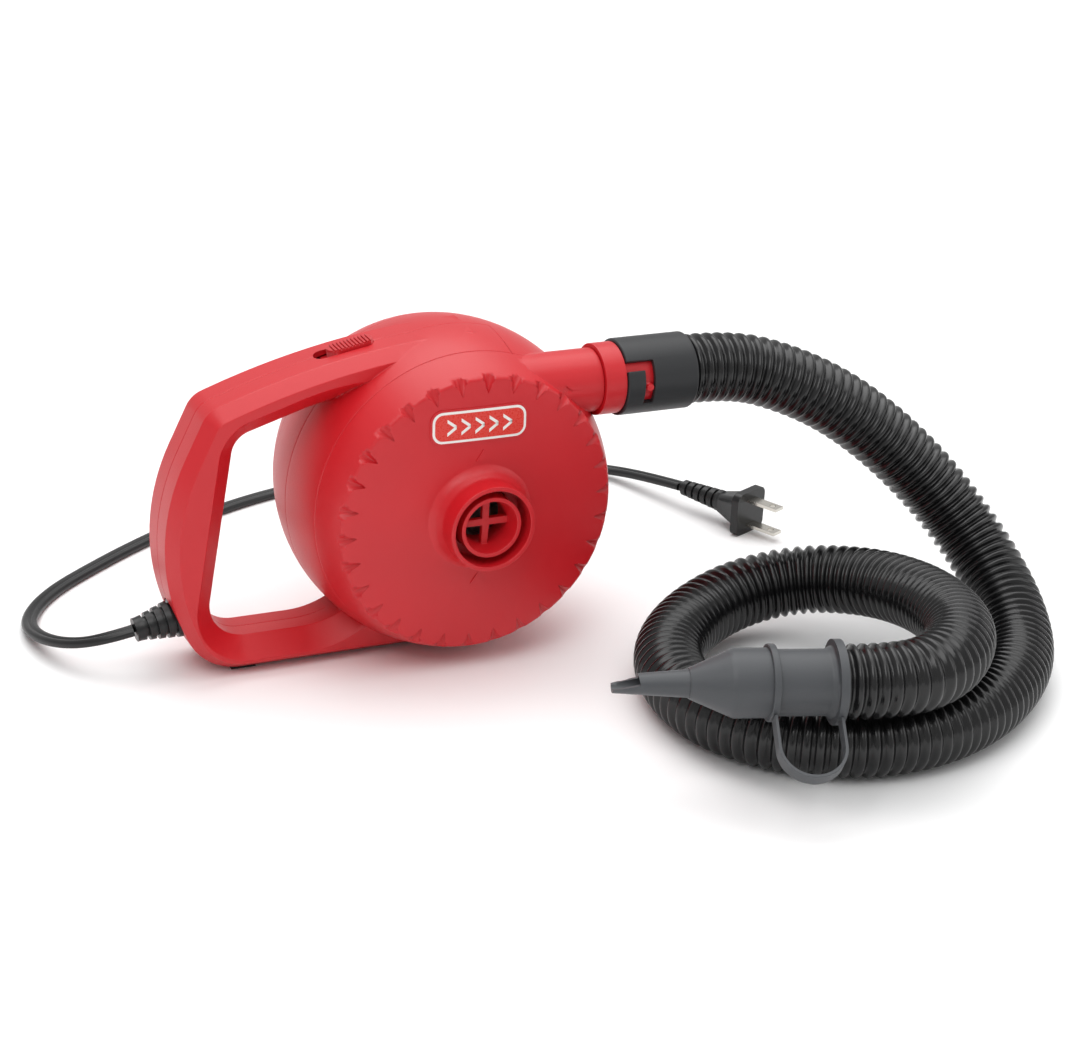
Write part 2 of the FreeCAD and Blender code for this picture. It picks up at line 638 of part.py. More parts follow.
# ---------------------------------------------------------------- blower
def bladed_wheel(name, hub, outline, blade_y, blade_len, count):
    """Turned hub and disc with vanes padded towards -Y and repeated about the axis."""
    body = turned(name, hub)
    drawing = sketch(body, name + "_vane", outline[0], outline[1], "XZ_Plane")
    drawing.AttachmentOffset = Placement(Vector(0, 0, -blade_y), Rotation())
    drawing.setExpression("AttachmentOffset.Base.z", text_of(-blade_y))
    vane = body.newObject("PartDesign::Pad", name + "_pad")
    vane.Profile = drawing
    bind(vane, "Length", blade_len)
    doc.recompute()
    pattern = body.newObject("PartDesign::PolarPattern", name + "_ring")
    pattern.Originals = [vane]
    axis = next(f for f in body.Origin.OriginFeatures if f.Role == "Y_Axis")
    pattern.Axis = (axis, [""])
    pattern.Angle = 360
    pattern.Occurrences = int(count)
    body.Tip = pattern
    return piece(body, name)


wheel_back = S.plate_y - 2
wheel_face = wheel_back - S.disc_t
shaft_hole = S.shaft_r + S.fit
lag = float(S.blade_lag)
tip_x, tip_z = on_circle(S.wheel_r - 0.5, lag)
tip_edge_x, tip_edge_z = on_circle(S.wheel_r - 0.5, lag + 2.4)
foot_x, foot_z = on_circle(S.eye_r, 0)
foot_edge_x, foot_edge_z = on_circle(S.eye_r, 5.0)
bladed_wheel("impeller", [
    (shaft_hole, wheel_face - 12), (S.hub_r - 2, wheel_face - 12), (S.hub_r, wheel_face),
    (S.wheel_r, wheel_face), (S.wheel_r, wheel_back), (shaft_hole, wheel_back)],
    ([(foot_x, 0), (tip_x, tip_z), (tip_edge_x, tip_edge_z), (foot_edge_x, foot_edge_z)],
     {0: S.blade_bow, 2: -S.blade_bow}), wheel_face + 0.5, S.wheel_w, S.blade_count)

fan_back = plate_back + 8.0
bladed_wheel("cooling_fan", [
    (shaft_hole, fan_back), (S.fan_r, fan_back), (S.fan_r, fan_back + 1.4), (S.hub_r - 1, fan_back + 1.4),
    (S.hub_r - 1, fan_back + S.fan_w), (shaft_hole, fan_back + S.fan_w)],
    ([(S.hub_r - 2, -0.7), (S.fan_r - 0.5, -0.7), (S.fan_r - 0.5, 0.7), (S.hub_r - 2, 0.7)], None),
    fan_back + S.fan_w, S.fan_w - 1, 8)

# scroll plate: round plate, spiral wall, bearing boss and two motor posts
bush_from = plate_back + 0.4
plate_r = barrel(-S.plate_y, S.wall) - S.gap
plate_disc = turned("plate_disc", [
    (S.shaft_r + 1.5, S.plate_y), (plate_r, S.plate_y), (plate_r, plate_back), (S.bush_r + 2.6, plate_back),
    (S.bush_r + 2.6, bush_from + S.bush_len), (S.bush_r + S.fit, bush_from + S.bush_len),
    (S.bush_r + S.fit, bush_from), (S.shaft_r + 1.5, bush_from)])
wall_top = -cavity_edge + 0.6


def scroll_curve(offset):
    """Spiral round the impeller, clockwise from the tongue to the outlet, seen from -Y."""
    spots = []
    for i in range(11):
        share = i / 10
        angle = math.radians(38 - 300 * share)
        radius = S.scroll_start + (S.scroll_end - S.scroll_start) * share + offset
        spots.append(Vector(radius * math.cos(angle), wall_top, S.axis_z + radius * math.sin(angle)))
    curve = Part.BSplineCurve()
    curve.interpolate(spots)
    return curve.toShape()


scroll_in, scroll_out = scroll_curve(0), scroll_curve(S.scroll_t)
scroll_face = Part.Face(Part.Wire([
    scroll_in, Part.LineSegment(scroll_in.Vertexes[-1].Point, scroll_out.Vertexes[-1].Point).toShape(),
    scroll_out, Part.LineSegment(scroll_in.Vertexes[0].Point, scroll_out.Vertexes[0].Point).toShape()]))
scroll_wall = shaped("scroll_wall", scroll_face.extrude(Vector(0, S.plate_y - wall_top + 0.5, 0)))
post_spots = [(side * S.motor_screw_x, S.axis_z) for side in (-1, 1)]
plate_posts = [rod(f"plate_post_{i}", S.post_r, S.stack_y - plate_back + 0.5, (x, plate_back - 0.5, z))
               for i, (x, z) in enumerate(post_spots)]
post_pilots = [rod(f"post_pilot_{i}", S.motor_screw_r + S.fit, 14.0, (x, S.stack_y - 14, z))
               for i, (x, z) in enumerate(post_spots)]
piece(cut("scroll_body", fuse("scroll_solid", plate_disc, scroll_wall, *plate_posts), *post_pilots,
          *tie_posts("plate_clear", S.plate_y - 1, plate_back + 1, S.tie_r + S.gap)), "scroll_plate")

# ---------------------------------------------------------------- motor
stack_end = S.stack_y + S.stack_len
comm_from = stack_end + 4.0
bracket_y = comm_from + S.comm_len + 0.4
bracket_t = 2.2
rear_bush = bracket_y + 0.2


def centred(name, wide, y_from, y_to, low, high):
    """Block centred on the axis in X, between two heights counted from the axis."""
    return box(name, (wide, y_to - y_from, high - low), (-wide / 2, y_from, S.axis_z + low))


stack_parts = []
shoe_top = S.core_r + 1.1
window_top = S.stack_tall / 2 - S.yoke
for number, side in enumerate((-1, 1)):
    low, high = (shoe_top - 7, shoe_top) if side > 0 else (-shoe_top, 7 - shoe_top)
    stack_parts.append(centred(f"shoe_{number}", S.pole_w + 8, S.stack_y, stack_end, low, high))
    low, high = (shoe_top, window_top) if side > 0 else (-window_top, -shoe_top)
    stack_parts.append(centred(f"pole_{number}", S.pole_w, S.stack_y, stack_end, low, high))
stack_block = centred("stack_block", S.stack_w, S.stack_y, stack_end, -S.stack_tall / 2, S.stack_tall / 2)
stack_window = centred("stack_window", S.stack_w - 2 * S.yoke, S.stack_y - 1, stack_end + 1,
                       -window_top, window_top)
yoke_ring = cut("yoke_ring", stack_block, stack_window)
stack_bore = rod("stack_bore", S.core_r + S.run_gap, S.stack_len + 2, (0, S.stack_y - 1, S.axis_z))
stack_holes = [rod(f"stack_hole_{i}", S.motor_screw_r + S.gap, S.stack_len + 2, (x, S.stack_y - 1, z))
               for i, (x, z) in enumerate(post_spots)]
piece(cut("stack_body", fuse("stack_solid", yoke_ring, *stack_parts), stack_bore, *stack_holes), "field_stack")

coils = []
for number, side in enumerate((-1, 1)):
    near, far = shoe_top + 0.1, shoe_top + 0.1 + S.coil_t
    low, high = (near, far) if side > 0 else (-far, -near)
    outer = centred(f"coil_{number}", S.pole_w + 10, S.stack_y - 3, stack_end + 3, low, high)
    inner = centred(f"coil_hole_{number}", S.pole_w + 0.4, S.stack_y - S.gap, stack_end + S.gap,
                    low - 1, high + 1)
    coils.append(cut(f"coil_ring_{number}", outer, inner))
piece(group("coil_pair", *coils), "field_coils")

core_disc = turned("core_disc", [(shaft_hole, S.stack_y), (S.core_r, S.stack_y), (S.core_r, stack_end),
                                 (shaft_hole, stack_end)])
slot_count = 12
slot_r = 1.5


def core_bars(name, radius, y_from, y_to):
    made = []
    for i in range(slot_count):
        x, z = on_circle(S.core_r - slot_r - 0.6, i * 360 / slot_count)
        made.append(rod(f"{name}_{i}", radius, y_to - y_from, (x, y_from, S.axis_z + z)))
    return made


piece(cut("core_body", core_disc, group("core_slots", *core_bars("core_slot", slot_r, S.stack_y - 1,
                                                                 stack_end + 1))), "armature_core")
end_rings = []
for name, y_from in (("winding_front", S.stack_y - S.winding_len), ("winding_rear", stack_end)):
    end_rings.append(turned(name, [
        (S.shaft_r + 1.2, y_from), (S.winding_r + 1, y_from), (S.winding_r + 1, y_from + S.winding_len),
        (S.shaft_r + 1.2, y_from + S.winding_len)]))
piece(fuse("winding_body", *end_rings, *core_bars("wire", slot_r - 0.1, S.stack_y - 0.5, stack_end + 0.5)),
      "armature_windings")
piece(turned("commutator_body", [(shaft_hole, comm_from), (S.comm_r, comm_from),
                                 (S.comm_r, comm_from + S.comm_len), (shaft_hole, comm_from + S.comm_len)]),
      "commutator")
piece(rod("shaft_body", S.shaft_r, rear_bush + S.bush_len - wheel_face + 14, (0, wheel_face - 14, S.axis_z)),
      "motor_shaft")
for name, y_from in (("bearing_front", bush_from), ("bearing_rear", rear_bush)):
    piece(turned(name + "_body", [(shaft_hole, y_from), (S.bush_r, y_from), (S.bush_r, y_from + S.bush_len),
                                  (shaft_hole, y_from + S.bush_len)]), name)

bracket_bar = centred("bracket_bar", 2 * S.motor_screw_x + 8, bracket_y, bracket_y + bracket_t, -7.0, 7.0)
bracket_boss = rod("bracket_boss", S.bush_r + 2.4, S.bush_len + 0.2, (0, bracket_y, S.axis_z))
bracket_legs = [rod(f"bracket_leg_{i}", S.post_r - 1, bracket_y - stack_end + 0.5, (x, stack_end, z))
                for i, (x, z) in enumerate(post_spots)]
bracket_holes = [rod(f"bracket_hole_{i}", S.motor_screw_r + S.gap, 30.0, (x, stack_end - 1, z))
                 for i, (x, z) in enumerate(post_spots)]
bush_seat = rod("bush_seat", S.bush_r + S.fit, 20.0, (0, bracket_y - 1, S.axis_z))
piece(cut("bracket_body", fuse("bracket_solid", bracket_bar, bracket_boss, *bracket_legs), bush_seat,
          *bracket_holes), "motor_bracket")

brush_y = comm_from + S.comm_len / 2
brush_thick = S.brush_w - 0.8
for name, side in (("left", -1), ("right", 1)):
    near = S.comm_r + S.run_gap
    far = near + S.brush_len
    x_low = near if side > 0 else -far
    piece(box(f"brush_{name}_body", (S.brush_len, brush_thick, S.brush_w),
              (x_low, brush_y - brush_thick / 2, S.axis_z - S.brush_w / 2)), f"brush_{name}")
    hold_low = near + 1.2 if side > 0 else -(far + 3.5)
    sleeve = box(f"sleeve_{name}", (S.brush_len + 2.3, bracket_y - comm_from + 0.1, S.brush_w + 2.4),
                 (hold_low, comm_from - 0.1, S.axis_z - S.brush_w / 2 - 1.2))
    hollow = box(f"sleeve_hole_{name}", (S.brush_len + 10, brush_thick + 0.2, S.brush_w + 0.2),
                 (hold_low - 5, brush_y - brush_thick / 2 - 0.1,
                  S.axis_z - S.brush_w / 2 - 0.1))
    piece(cut(f"holder_{name}_body", sleeve, hollow), f"brush_holder_{name}")


def screw(name, radius, spot, y_tip, y_head, head_r, head_t):
    """Pan head screw parallel to Y with its head on the +Y side."""
    return fuse(name, rod(name + "_shank", radius, y_head - y_tip, (spot[0], y_tip, spot[1])),
                rod(name + "_head", head_r, head_t, (spot[0], y_head, spot[1])))


piece(group("motor_screw_pair", *[
    screw(f"motor_screw_{i}", S.motor_screw_r, spot, S.stack_y - 13, bracket_y + bracket_t, S.head_r, S.head_t)
    for i, spot in enumerate(post_spots)]), "motor_screws")
tie_spots = []
for angle in tie_angles:
    x, z = on_circle(S.tie_circle, angle)
    tie_spots.append((x, S.axis_z + z))
piece(group("tie_set", *[screw(f"tie_{i}", S.tie_r, spot, S.plate_y - 18, head_y, S.head_r, S.head_t)
                         for i, spot in enumerate(tie_spots)]), "tie_screws")
piece(group("handle_screw_set", *[
    screw(f"handle_screw_{i}", S.screw_r, spot, -10.5, 9.0, S.head_r, 1.6)
    for i, spot in enumerate(boss_spots)]), "handle_screws")

# ---------------------------------------------------------------- switch, leads and cord entry
rest_x = (S.slot_len - S.button_len) / 2 - S.run_gap
button = switch_pill("button", S.button_len, S.slot_wide - 2 * S.run_gap, S.button_up - flange_top,
                     rest_x, flange_top)
slide_plate = switch_box("slide_plate", S.button_len + 4, S.slot_wide + 2, flange_t, rest_x,
                         flange_top - flange_t)
pin_deep = 2.0
slide_pin = switch_box("slide_pin", 2.0, 2.0, pin_deep, rest_x, flange_top - flange_t - pin_deep)
grip_pitch = (S.button_len - 3) / S.rib_count
grooves = [switch_box(f"groove_{i}", grip_pitch - S.rib_w, S.slot_wide + 4, 2.0,
                      rest_x - (S.button_len - 3) / 2 + (i + 0.5) * grip_pitch, S.button_up - 0.8)
           for i in range(int(S.rib_count))]
piece(cut("slider_body", fuse("slider_solid", button, slide_plate, slide_pin), group("grooves", *grooves)),
      "switch_slider")
switch_case = switch_box("switch_case", S.switch_len, S.switch_wide, S.switch_tall, 0.0,
                         switch_top - S.switch_tall)
switch_groove = switch_box("switch_groove", S.slot_len - S.button_len + 3.2, 3.0, 2.0, 0.0, switch_top - 1.6)
piece(cut("switch_body_cut", switch_case, switch_groove), "switch_body")

relief_steps = 5
relief_points = [(-gland_in - 2.6, 0), (-gland_in - 2.6, S.relief_r - 2), (-gland_in - S.gap, S.relief_r - 2),
                 (-gland_in - S.gap, S.relief_tip - 0.8), (-seat_in + 0.1, S.relief_tip - 0.8)]
rib_pitch = (S.relief_len + seat_in - 0.1) / relief_steps
for i in range(relief_steps):
    rib_r = S.relief_r - (S.relief_r - S.relief_tip) * i / (relief_steps - 1)
    left = -seat_in + 0.1 + i * rib_pitch
    relief_points += [(left, rib_r), (left + rib_pitch * 0.62, rib_r - 0.3)]
    if i < relief_steps - 1:
        relief_points += [(left + rib_pitch * 0.62, rib_r - 2), (left + rib_pitch, rib_r - 2)]
relief_points += [(S.relief_len, S.relief_tip - 0.3), (S.relief_len, 0)]
relief_body = turned("relief_body", relief_points, about="H_Axis", at=(0, 0, 0))
for letter in "xyz":
    relief_body.setExpression(f"Placement.Base.{letter}", None)
relief_body.Placement = gland
piece(relief_body, "cord_strain_relief")


def route(points):
    """Straight runs joined by tangent arcs, each as large as its two runs allow."""
    spots = [Vector(*p) for p in points]
    edges = []
    radii = []
    start = spots[0]
    for before, here, after in zip(spots, spots[1:], spots[2:]):
        back, on = before - here, after - here
        reach = 0.45 * min(back.Length, on.Length)
        half_turn = (math.pi - back.getAngle(on)) / 2
        radii.append(reach / math.tan(half_turn))
        back.normalize()
        on.normalize()
        bisector = (back + on).normalize()
        middle = here + bisector * (radii[-1] / math.cos(half_turn) - radii[-1])
        edges.append(Part.LineSegment(start, here + back * reach).toShape())
        edges.append(Part.Arc(here + back * reach, middle, here + on * reach).toShape())
        start = here + on * reach
    edges.append(Part.LineSegment(start, spots[-1]).toShape())
    return Part.Wire(edges), radii


def swept(name, points, section, area, lies_flat=False):
    """Sweep a section along the route and compare the volume with area times length."""
    path, radii = route(points)
    shell = Part.BRepOffsetAPI.MakePipeShell(path)
    if lies_flat:
        shell.setBiNormalMode(Vector(0, 0, 1))
    else:
        shell.setFrenetMode(False)
    shell.add(section)
    shell.build()
    shell.makeSolid()
    solid = shell.shape()
    print(f"{name}: length {path.Length:.1f}, least radius {min(radii):.1f}, "
          f"volume over section times length {solid.Volume / (area * path.Length):.4f}")
    print("   arc radii", [round(r) for r in radii])
    return solid


def round_section(points, radius):
    start, along = Vector(*points[0]), Vector(*points[1]) - Vector(*points[0])
    return Part.Wire(Part.Circle(start, along, radius).toShape())


def flat_section(points, wide, tall, corner):
    """Rounded rectangle lying flat across the start of a route."""
    start = Vector(*points[0])
    along = (Vector(*points[1]) - start).normalize()
    across = Vector(0, 0, 1).cross(along).normalize()
    up = along.cross(across).normalize()
    spots = [start + across * a * wide / 2 + up * b * tall / 2 for a, b in ((1, 1), (-1, 1), (-1, -1), (1, -1))]
    return rounded(spots, corner)


leads_to_switch = [(-115, 0, 33.8), (-112.6, 0, 43), (-112.2, 0, 54), (-110.6, 0, 68), (-108.4, 0, 84),
                   (-106.6, 0, 97), (-102.6, 0, 108.4), (-91, 0, 117.3), (-76, 0, 122), (-61, 0, 127.2)]
leads_to_motor = [(-34.4, 0, 133.4), (-29.5, 1, 133.6), (-24, 7, 130), (-20, 18, 123), (-19.5, 28, 111),
                  (-19, 33.4, 96), (-17, 33.6, 79.0)]
lead_r = 1.3
piece(shaped("leads_body", Part.makeCompound([
    swept("lead", way, round_section(way, lead_r), math.pi * lead_r ** 2)
    for way in (leads_to_switch, leads_to_motor)])), "inner_leads")

# ---------------------------------------------------------------- feet
for name, middle_x in (("foot_middle", 0.0), ("foot_heel", -94.0)):
    long = S.foot_len if name == "foot_middle" else S.foot_len / 2
    piece(box(name + "_body", (long, S.foot_w, S.foot_t),
              (middle_x - long / 2, -S.foot_w / 2, S.base_z - S.foot_t)), name)

# ---------------------------------------------------------------- mains cord and plug
relief_end = gland.multVec(Vector(S.relief_len, 0, 0))
relief_way = gland.Rotation.multVec(Vector(1, 0, 0))
cord_way = [(-140.6, 0, 20.5), (-152.5, 1.5, 17.5), (-164, 12, 12), (-172, 29, 7.5), (-174, 50, 4),
            (-166, 71, 2), (-151, 89, 1.95), (-131, 105, 1.95), (-102, 126, 1.95), (-64, 149, 1.95),
            (-22, 167, 1.95), (30, 177, 1.95), (85, 177, 1.95), (127, 165, 1.95), (155, 142, 4),
            (165.5, 116.5, 8.5), (173.7, 94.6, 11)]
print("relief end", relief_end, relief_way)
corner_r = 1.6
cord_area = S.cord_w * S.cord_t - (4 - math.pi) * corner_r ** 2
piece(shaped("cord_body", swept("power_cord", cord_way, flat_section(cord_way, S.cord_w, S.cord_t, corner_r),
                                float(cord_area), True)), "power_cord")

plug_angle = -65.2
plug_at = Placement(Vector(192.0, 55.0, float(S.plug_face) / 2), Rotation(Vector(0, 0, 1), plug_angle))


def plug_outline(x, wide, tall, corner):
    spots = [Vector(x, a * wide / 2, b * tall / 2) for a, b in ((1, 1), (-1, 1), (-1, -1), (1, -1))]
    return rounded(spots, corner)


def plug_shape():
    face, body_end = float(S.plug_face), float(S.flange_t + S.plug_len)
    flange = Part.Face(plug_outline(-S.flange_t, face, face, 4)).extrude(Vector(S.flange_t, 0, 0))
    body = Part.makeLoft([plug_outline(-S.flange_t, face - 5, face - 6, 3),
                          plug_outline(-body_end, S.cord_w + 3.5, S.cord_t + 6, 3)], True)
    relief = []
    ribs = 6
    pitch = S.plug_relief / ribs
    for i in range(ribs):
        size = 5.4 - 1.4 * i / (ribs - 1)
        x = -body_end - i * pitch
        relief.append(Part.makeCylinder(size, pitch * 0.62, Vector(x, 0, 0), Vector(-1, 0, 0)))
        neck = pitch + 0.01 * (i < ribs - 1)
        relief.append(Part.makeCylinder(size - 1.2, neck, Vector(x, 0, 0), Vector(-1, 0, 0)))
    return flange.fuse([body] + relief).removeSplitter()


piece(shaped("plug_shape", plug_shape(), plug_at), "plug_body")
blades = []
for number, side in enumerate((-1, 1)):
    blade = doc.addObject("Part::Box", f"blade_{number}")
    bind(blade, "Length", S.blade_len)
    bind(blade, "Width", S.blade_w)
    bind(blade, "Height", S.blade_thick)
    height = side * S.blade_gap / 2
    in_frame(blade, plug_at, 0, -S.blade_w / 2, height - S.blade_thick / 2)
    hole = doc.addObject("Part::Cylinder", f"blade_hole_{number}")
    bind(hole, "Radius", S.blade_hole)
    bind(hole, "Height", S.blade_thick + 2)
    in_frame(hole, plug_at, S.blade_len - 4, 0, height - S.blade_thick / 2 - 1)
    blades.append(cut(f"blade_cut_{number}", blade, hole))
piece(group("blade_pair", *blades), "plug_blades")

# ---------------------------------------------------------------- hose, cuff and nozzle
hose_way = [(103.2, -26, 124), (127, -26, 124), (152, -31, 117), (177, -36, 105), (200, -43, 88),
            (220, -53, 68), (234, -67, 48), (240, -86, 32), (237, -110, 21), (225, -135, 15.7),
            (204, -158, 15.7), (176, -177, 15.7), (144, -187, 15.7), (112, -185, 15.7), (84, -170, 15.7),
            (67, -144, 15.7), (64, -114, 15.7), (74, -84, 15.7), (97, -60, 17), (128, -49, 22),
            (158, -56, 28), (178, -80, 34), (184, -112, 40), (180, -143, 44), (168, -170, 47.5),
            (148, -190, 48.5), (122.8, -198, 48.5), (97, -190, 48.5)]
hose_solid = swept("hose", hose_way, round_section(hose_way, float(S.hose_r)), math.pi * S.hose_r ** 2)
bore_solid = swept("hose bore", hose_way, round_section(hose_way, float(S.hose_r - S.hose_wall)),
                   math.pi * (S.hose_r - S.hose_wall) ** 2)
piece(shaped("hose_body", hose_solid.cut(bore_solid)), "hose_tube")

hose_end, hose_before = Vector(*hose_way[-1]), Vector(*hose_way[-2])
nozzle_way = (hose_end - hose_before).normalize()
nozzle_angle = math.degrees(math.atan2(nozzle_way.y, nozzle_way.x))
nozzle_frame = Placement(hose_end, Rotation(Vector(0, 0, 1), nozzle_angle))


def nozzle_turned(name, points):
    body = turned(name, points, about="H_Axis", at=(0, 0, 0))
    for letter in "xyz":
        body.setExpression(f"Placement.Base.{letter}", None)
    body.Placement = nozzle_frame
    return body


cuff_bore = S.cuff_r - 3.4
spigot_end = S.cuff_len + S.socket_len
socket_in = S.nozzle_r - S.nozzle_wall
piece(nozzle_turned("cuff_body", [
    (0, cuff_bore), (0, S.cuff_flange), (3.5, S.cuff_flange), (3.5, S.cuff_r + 1.4), (6.5, S.cuff_r),
    (S.cuff_len, S.cuff_r), (S.cuff_len, socket_in - S.run_gap), (spigot_end, socket_in - S.run_gap - 0.3),
    (spigot_end, cuff_bore)]), "hose_end_cuff")
mouth = S.cuff_len + S.run_gap
body_end = mouth + S.nozzle_body
cone_end = body_end + S.cone_len
nozzle_tip = cone_end + S.tip_len
nozzle_shell = nozzle_turned("nozzle_shell", [
    (mouth, socket_in), (mouth, S.nozzle_r + 1.6), (mouth + 3, S.nozzle_r + 1.6), (mouth + 3, S.nozzle_r),
    (body_end, S.nozzle_r), (cone_end, S.tip_root + 0.5), (cone_end, S.tip_root), (nozzle_tip, S.tip_r),
    (nozzle_tip, S.tip_r - 1.1), (cone_end, S.tip_root - S.nozzle_wall), (body_end, socket_in)])
bevel = doc.addObject("Part::Box", "tip_bevel")
bind(bevel, "Length", 30.0)
bind(bevel, "Width", 20.0)
bind(bevel, "Height", 10.0)
in_frame(bevel, nozzle_frame, nozzle_tip - 11, -10, 1.2, Rotation(Vector(0, 1, 0), 12))
piece(cut("nozzle_body", nozzle_shell, bevel), "nozzle")

strap_dip = math.radians(35)
strap_out = nozzle_frame.Rotation.multVec(Vector(0, math.cos(strap_dip), -math.sin(strap_dip)))


def strap_spot(along, out):
    return hose_end + nozzle_way * along + strap_out * out


def strap_shape():
    """Flat strap: out from the nozzle's ring, round a half circle and back to the cuff's flange."""
    near, far = 1.75, float(mouth) + 1.5
    bend = (far - near) / 2
    turn_at = 30.0
    t = float(S.strap_t) / 2
    outer_start, outer_end = float(S.nozzle_r) + 1.6 + 0.3, float(S.cuff_flange) + 0.05
    spots = [strap_spot(far + t, outer_start), strap_spot(far + t, turn_at),
             strap_spot(near - t, turn_at), strap_spot(near - t, outer_end),
             strap_spot(near + t, outer_end), strap_spot(near + t, turn_at),
             strap_spot(far - t, turn_at), strap_spot(far - t, outer_start)]
    middle = (near + far) / 2
    edges = [Part.LineSegment(spots[0], spots[1]),
             Part.Arc(spots[1], strap_spot(middle, turn_at + bend + t), spots[2]),
             Part.LineSegment(spots[2], spots[3]), Part.LineSegment(spots[3], spots[4]),
             Part.LineSegment(spots[4], spots[5]),
             Part.Arc(spots[5], strap_spot(middle, turn_at + bend - t), spots[6]),
             Part.LineSegment(spots[6], spots[7]), Part.LineSegment(spots[7], spots[0])]
    across = nozzle_way.cross(strap_out).normalize() * float(S.strap_w)
    flat = Part.Face(Part.Wire([e.toShape() for e in edges]))
    flat.translate(across * -0.5)
    return flat.extrude(across)


piece(shaped("strap_body", strap_shape()), "nozzle_tether")

# ---------------------------------------------------------------- check and write
doc.recompute()
bad = [o.Name for o in doc.Objects if {"Invalid", "Error"} & set(o.State)]
for made in PIECES:
    if made.Shape.isNull() or not made.Shape.isValid() or not made.Shape.Solids:
        bad.append(made.Label)
if bad:
    raise SystemExit("failed objects: " + ", ".join(bad))
os.makedirs("parts", exist_ok=True)
for made in PIECES:
    made.Shape.exportStep(f"parts/{made.Label}.step")
    corners = made.Shape.BoundBox
    print(f"{made.Label:22s} solids {len(made.Shape.Solids)} volume {made.Shape.Volume:9.0f} "
          f"x {corners.XMin:.1f}..{corners.XMax:.1f} y {corners.YMin:.1f}..{corners.YMax:.1f} "
          f"z {corners.ZMin:.1f}..{corners.ZMax:.1f}")
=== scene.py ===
# %% [markdown]
# # An electric air mattress pump
# A flat blower drum with a D-shaped handle stands on two feet. A ribbed hose curls on the table
# beside it, and a flat mains lead runs round its back. A finished CAD frame gives every size and
# place in metres, so each piece below is built where its solid already stands.

import math

import bmesh
import bpy
from mathutils import Matrix, Vector
from mathutils.bvhtree import BVHTree


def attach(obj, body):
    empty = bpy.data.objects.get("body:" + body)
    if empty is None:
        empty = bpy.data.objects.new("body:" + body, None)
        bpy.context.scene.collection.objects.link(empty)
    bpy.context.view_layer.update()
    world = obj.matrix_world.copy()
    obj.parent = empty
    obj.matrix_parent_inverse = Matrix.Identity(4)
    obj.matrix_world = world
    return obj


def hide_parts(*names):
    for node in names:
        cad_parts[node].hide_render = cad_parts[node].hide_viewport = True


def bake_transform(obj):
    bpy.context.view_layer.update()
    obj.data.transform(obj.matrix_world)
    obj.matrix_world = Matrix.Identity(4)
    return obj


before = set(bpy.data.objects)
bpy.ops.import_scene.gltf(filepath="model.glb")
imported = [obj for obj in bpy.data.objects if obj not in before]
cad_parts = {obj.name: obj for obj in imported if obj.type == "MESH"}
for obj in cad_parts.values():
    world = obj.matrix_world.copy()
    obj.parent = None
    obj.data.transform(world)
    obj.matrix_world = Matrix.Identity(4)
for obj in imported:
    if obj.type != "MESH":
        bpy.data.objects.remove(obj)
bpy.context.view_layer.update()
MM = 0.001
collection = bpy.context.scene.collection

# %% [markdown]
# ## Camera
# The pump is seen from its left front corner, from a little above. The camera's axes are worked out
# from its turn, height and roll, so that nothing else in the scene has to know where it stands.

# %% Set the camera
VIEW_TURN, VIEW_HEIGHT, VIEW_ROLL = (math.radians(a) for a in (25.774, 23.379, 3.294))
CAMERA_AT = Vector((-0.457, -1.051, 0.547))
back = Vector((-math.sin(VIEW_TURN) * math.cos(VIEW_HEIGHT),
               -math.cos(VIEW_TURN) * math.cos(VIEW_HEIGHT), math.sin(VIEW_HEIGHT)))
level = Vector((math.cos(VIEW_TURN), -math.sin(VIEW_TURN), 0))
above = back.cross(level)
lens_right = level * math.cos(VIEW_ROLL) + above * math.sin(VIEW_ROLL)
lens_up = above * math.cos(VIEW_ROLL) - level * math.sin(VIEW_ROLL)
camera = bpy.data.objects.new("camera", bpy.data.cameras.new("camera"))
camera.data.lens = 93.33
camera.data.sensor_width = 36
camera.matrix_world = Matrix.Translation(CAMERA_AT) @ Matrix(
    (lens_right, lens_up, back)).transposed().to_4x4()
collection.objects.link(camera)
bpy.context.scene.camera = camera

# %% [markdown]
# ## Finishes
# Moulded plastic, vinyl and plated metal differ in colour, gloss and grain. One helper builds them
# all: fine noise raises the grain and shifts the gloss, and a broad slow noise shifts the colour a
# little, as on a real moulding. Every pattern reads Object coordinates, so it stays with its piece.


# %% A material helper
def linear(red, green, blue):
    """A screen colour, 0 to 255, as the linear colour that shaders use."""
    parts = [v / 255 for v in (red, green, blue)]
    return [v / 12.92 if v <= 0.04045 else ((v + 0.055) / 1.055) ** 2.4 for v in parts]


def add(tree, kind, inputs=None, **settings):
    """Add a node, set its settings, and set or link its inputs by name or number."""
    made = tree.nodes.new(kind)
    for key, value in settings.items():
        setattr(made, key, value)
    for key, value in (inputs or {}).items():
        if isinstance(value, bpy.types.NodeSocket):
            tree.links.new(value, made.inputs[key])
        else:
            made.inputs[key].default_value = value
    return made


BROAD_SCALE = 22.0
GLOSS_VARY = 0.06


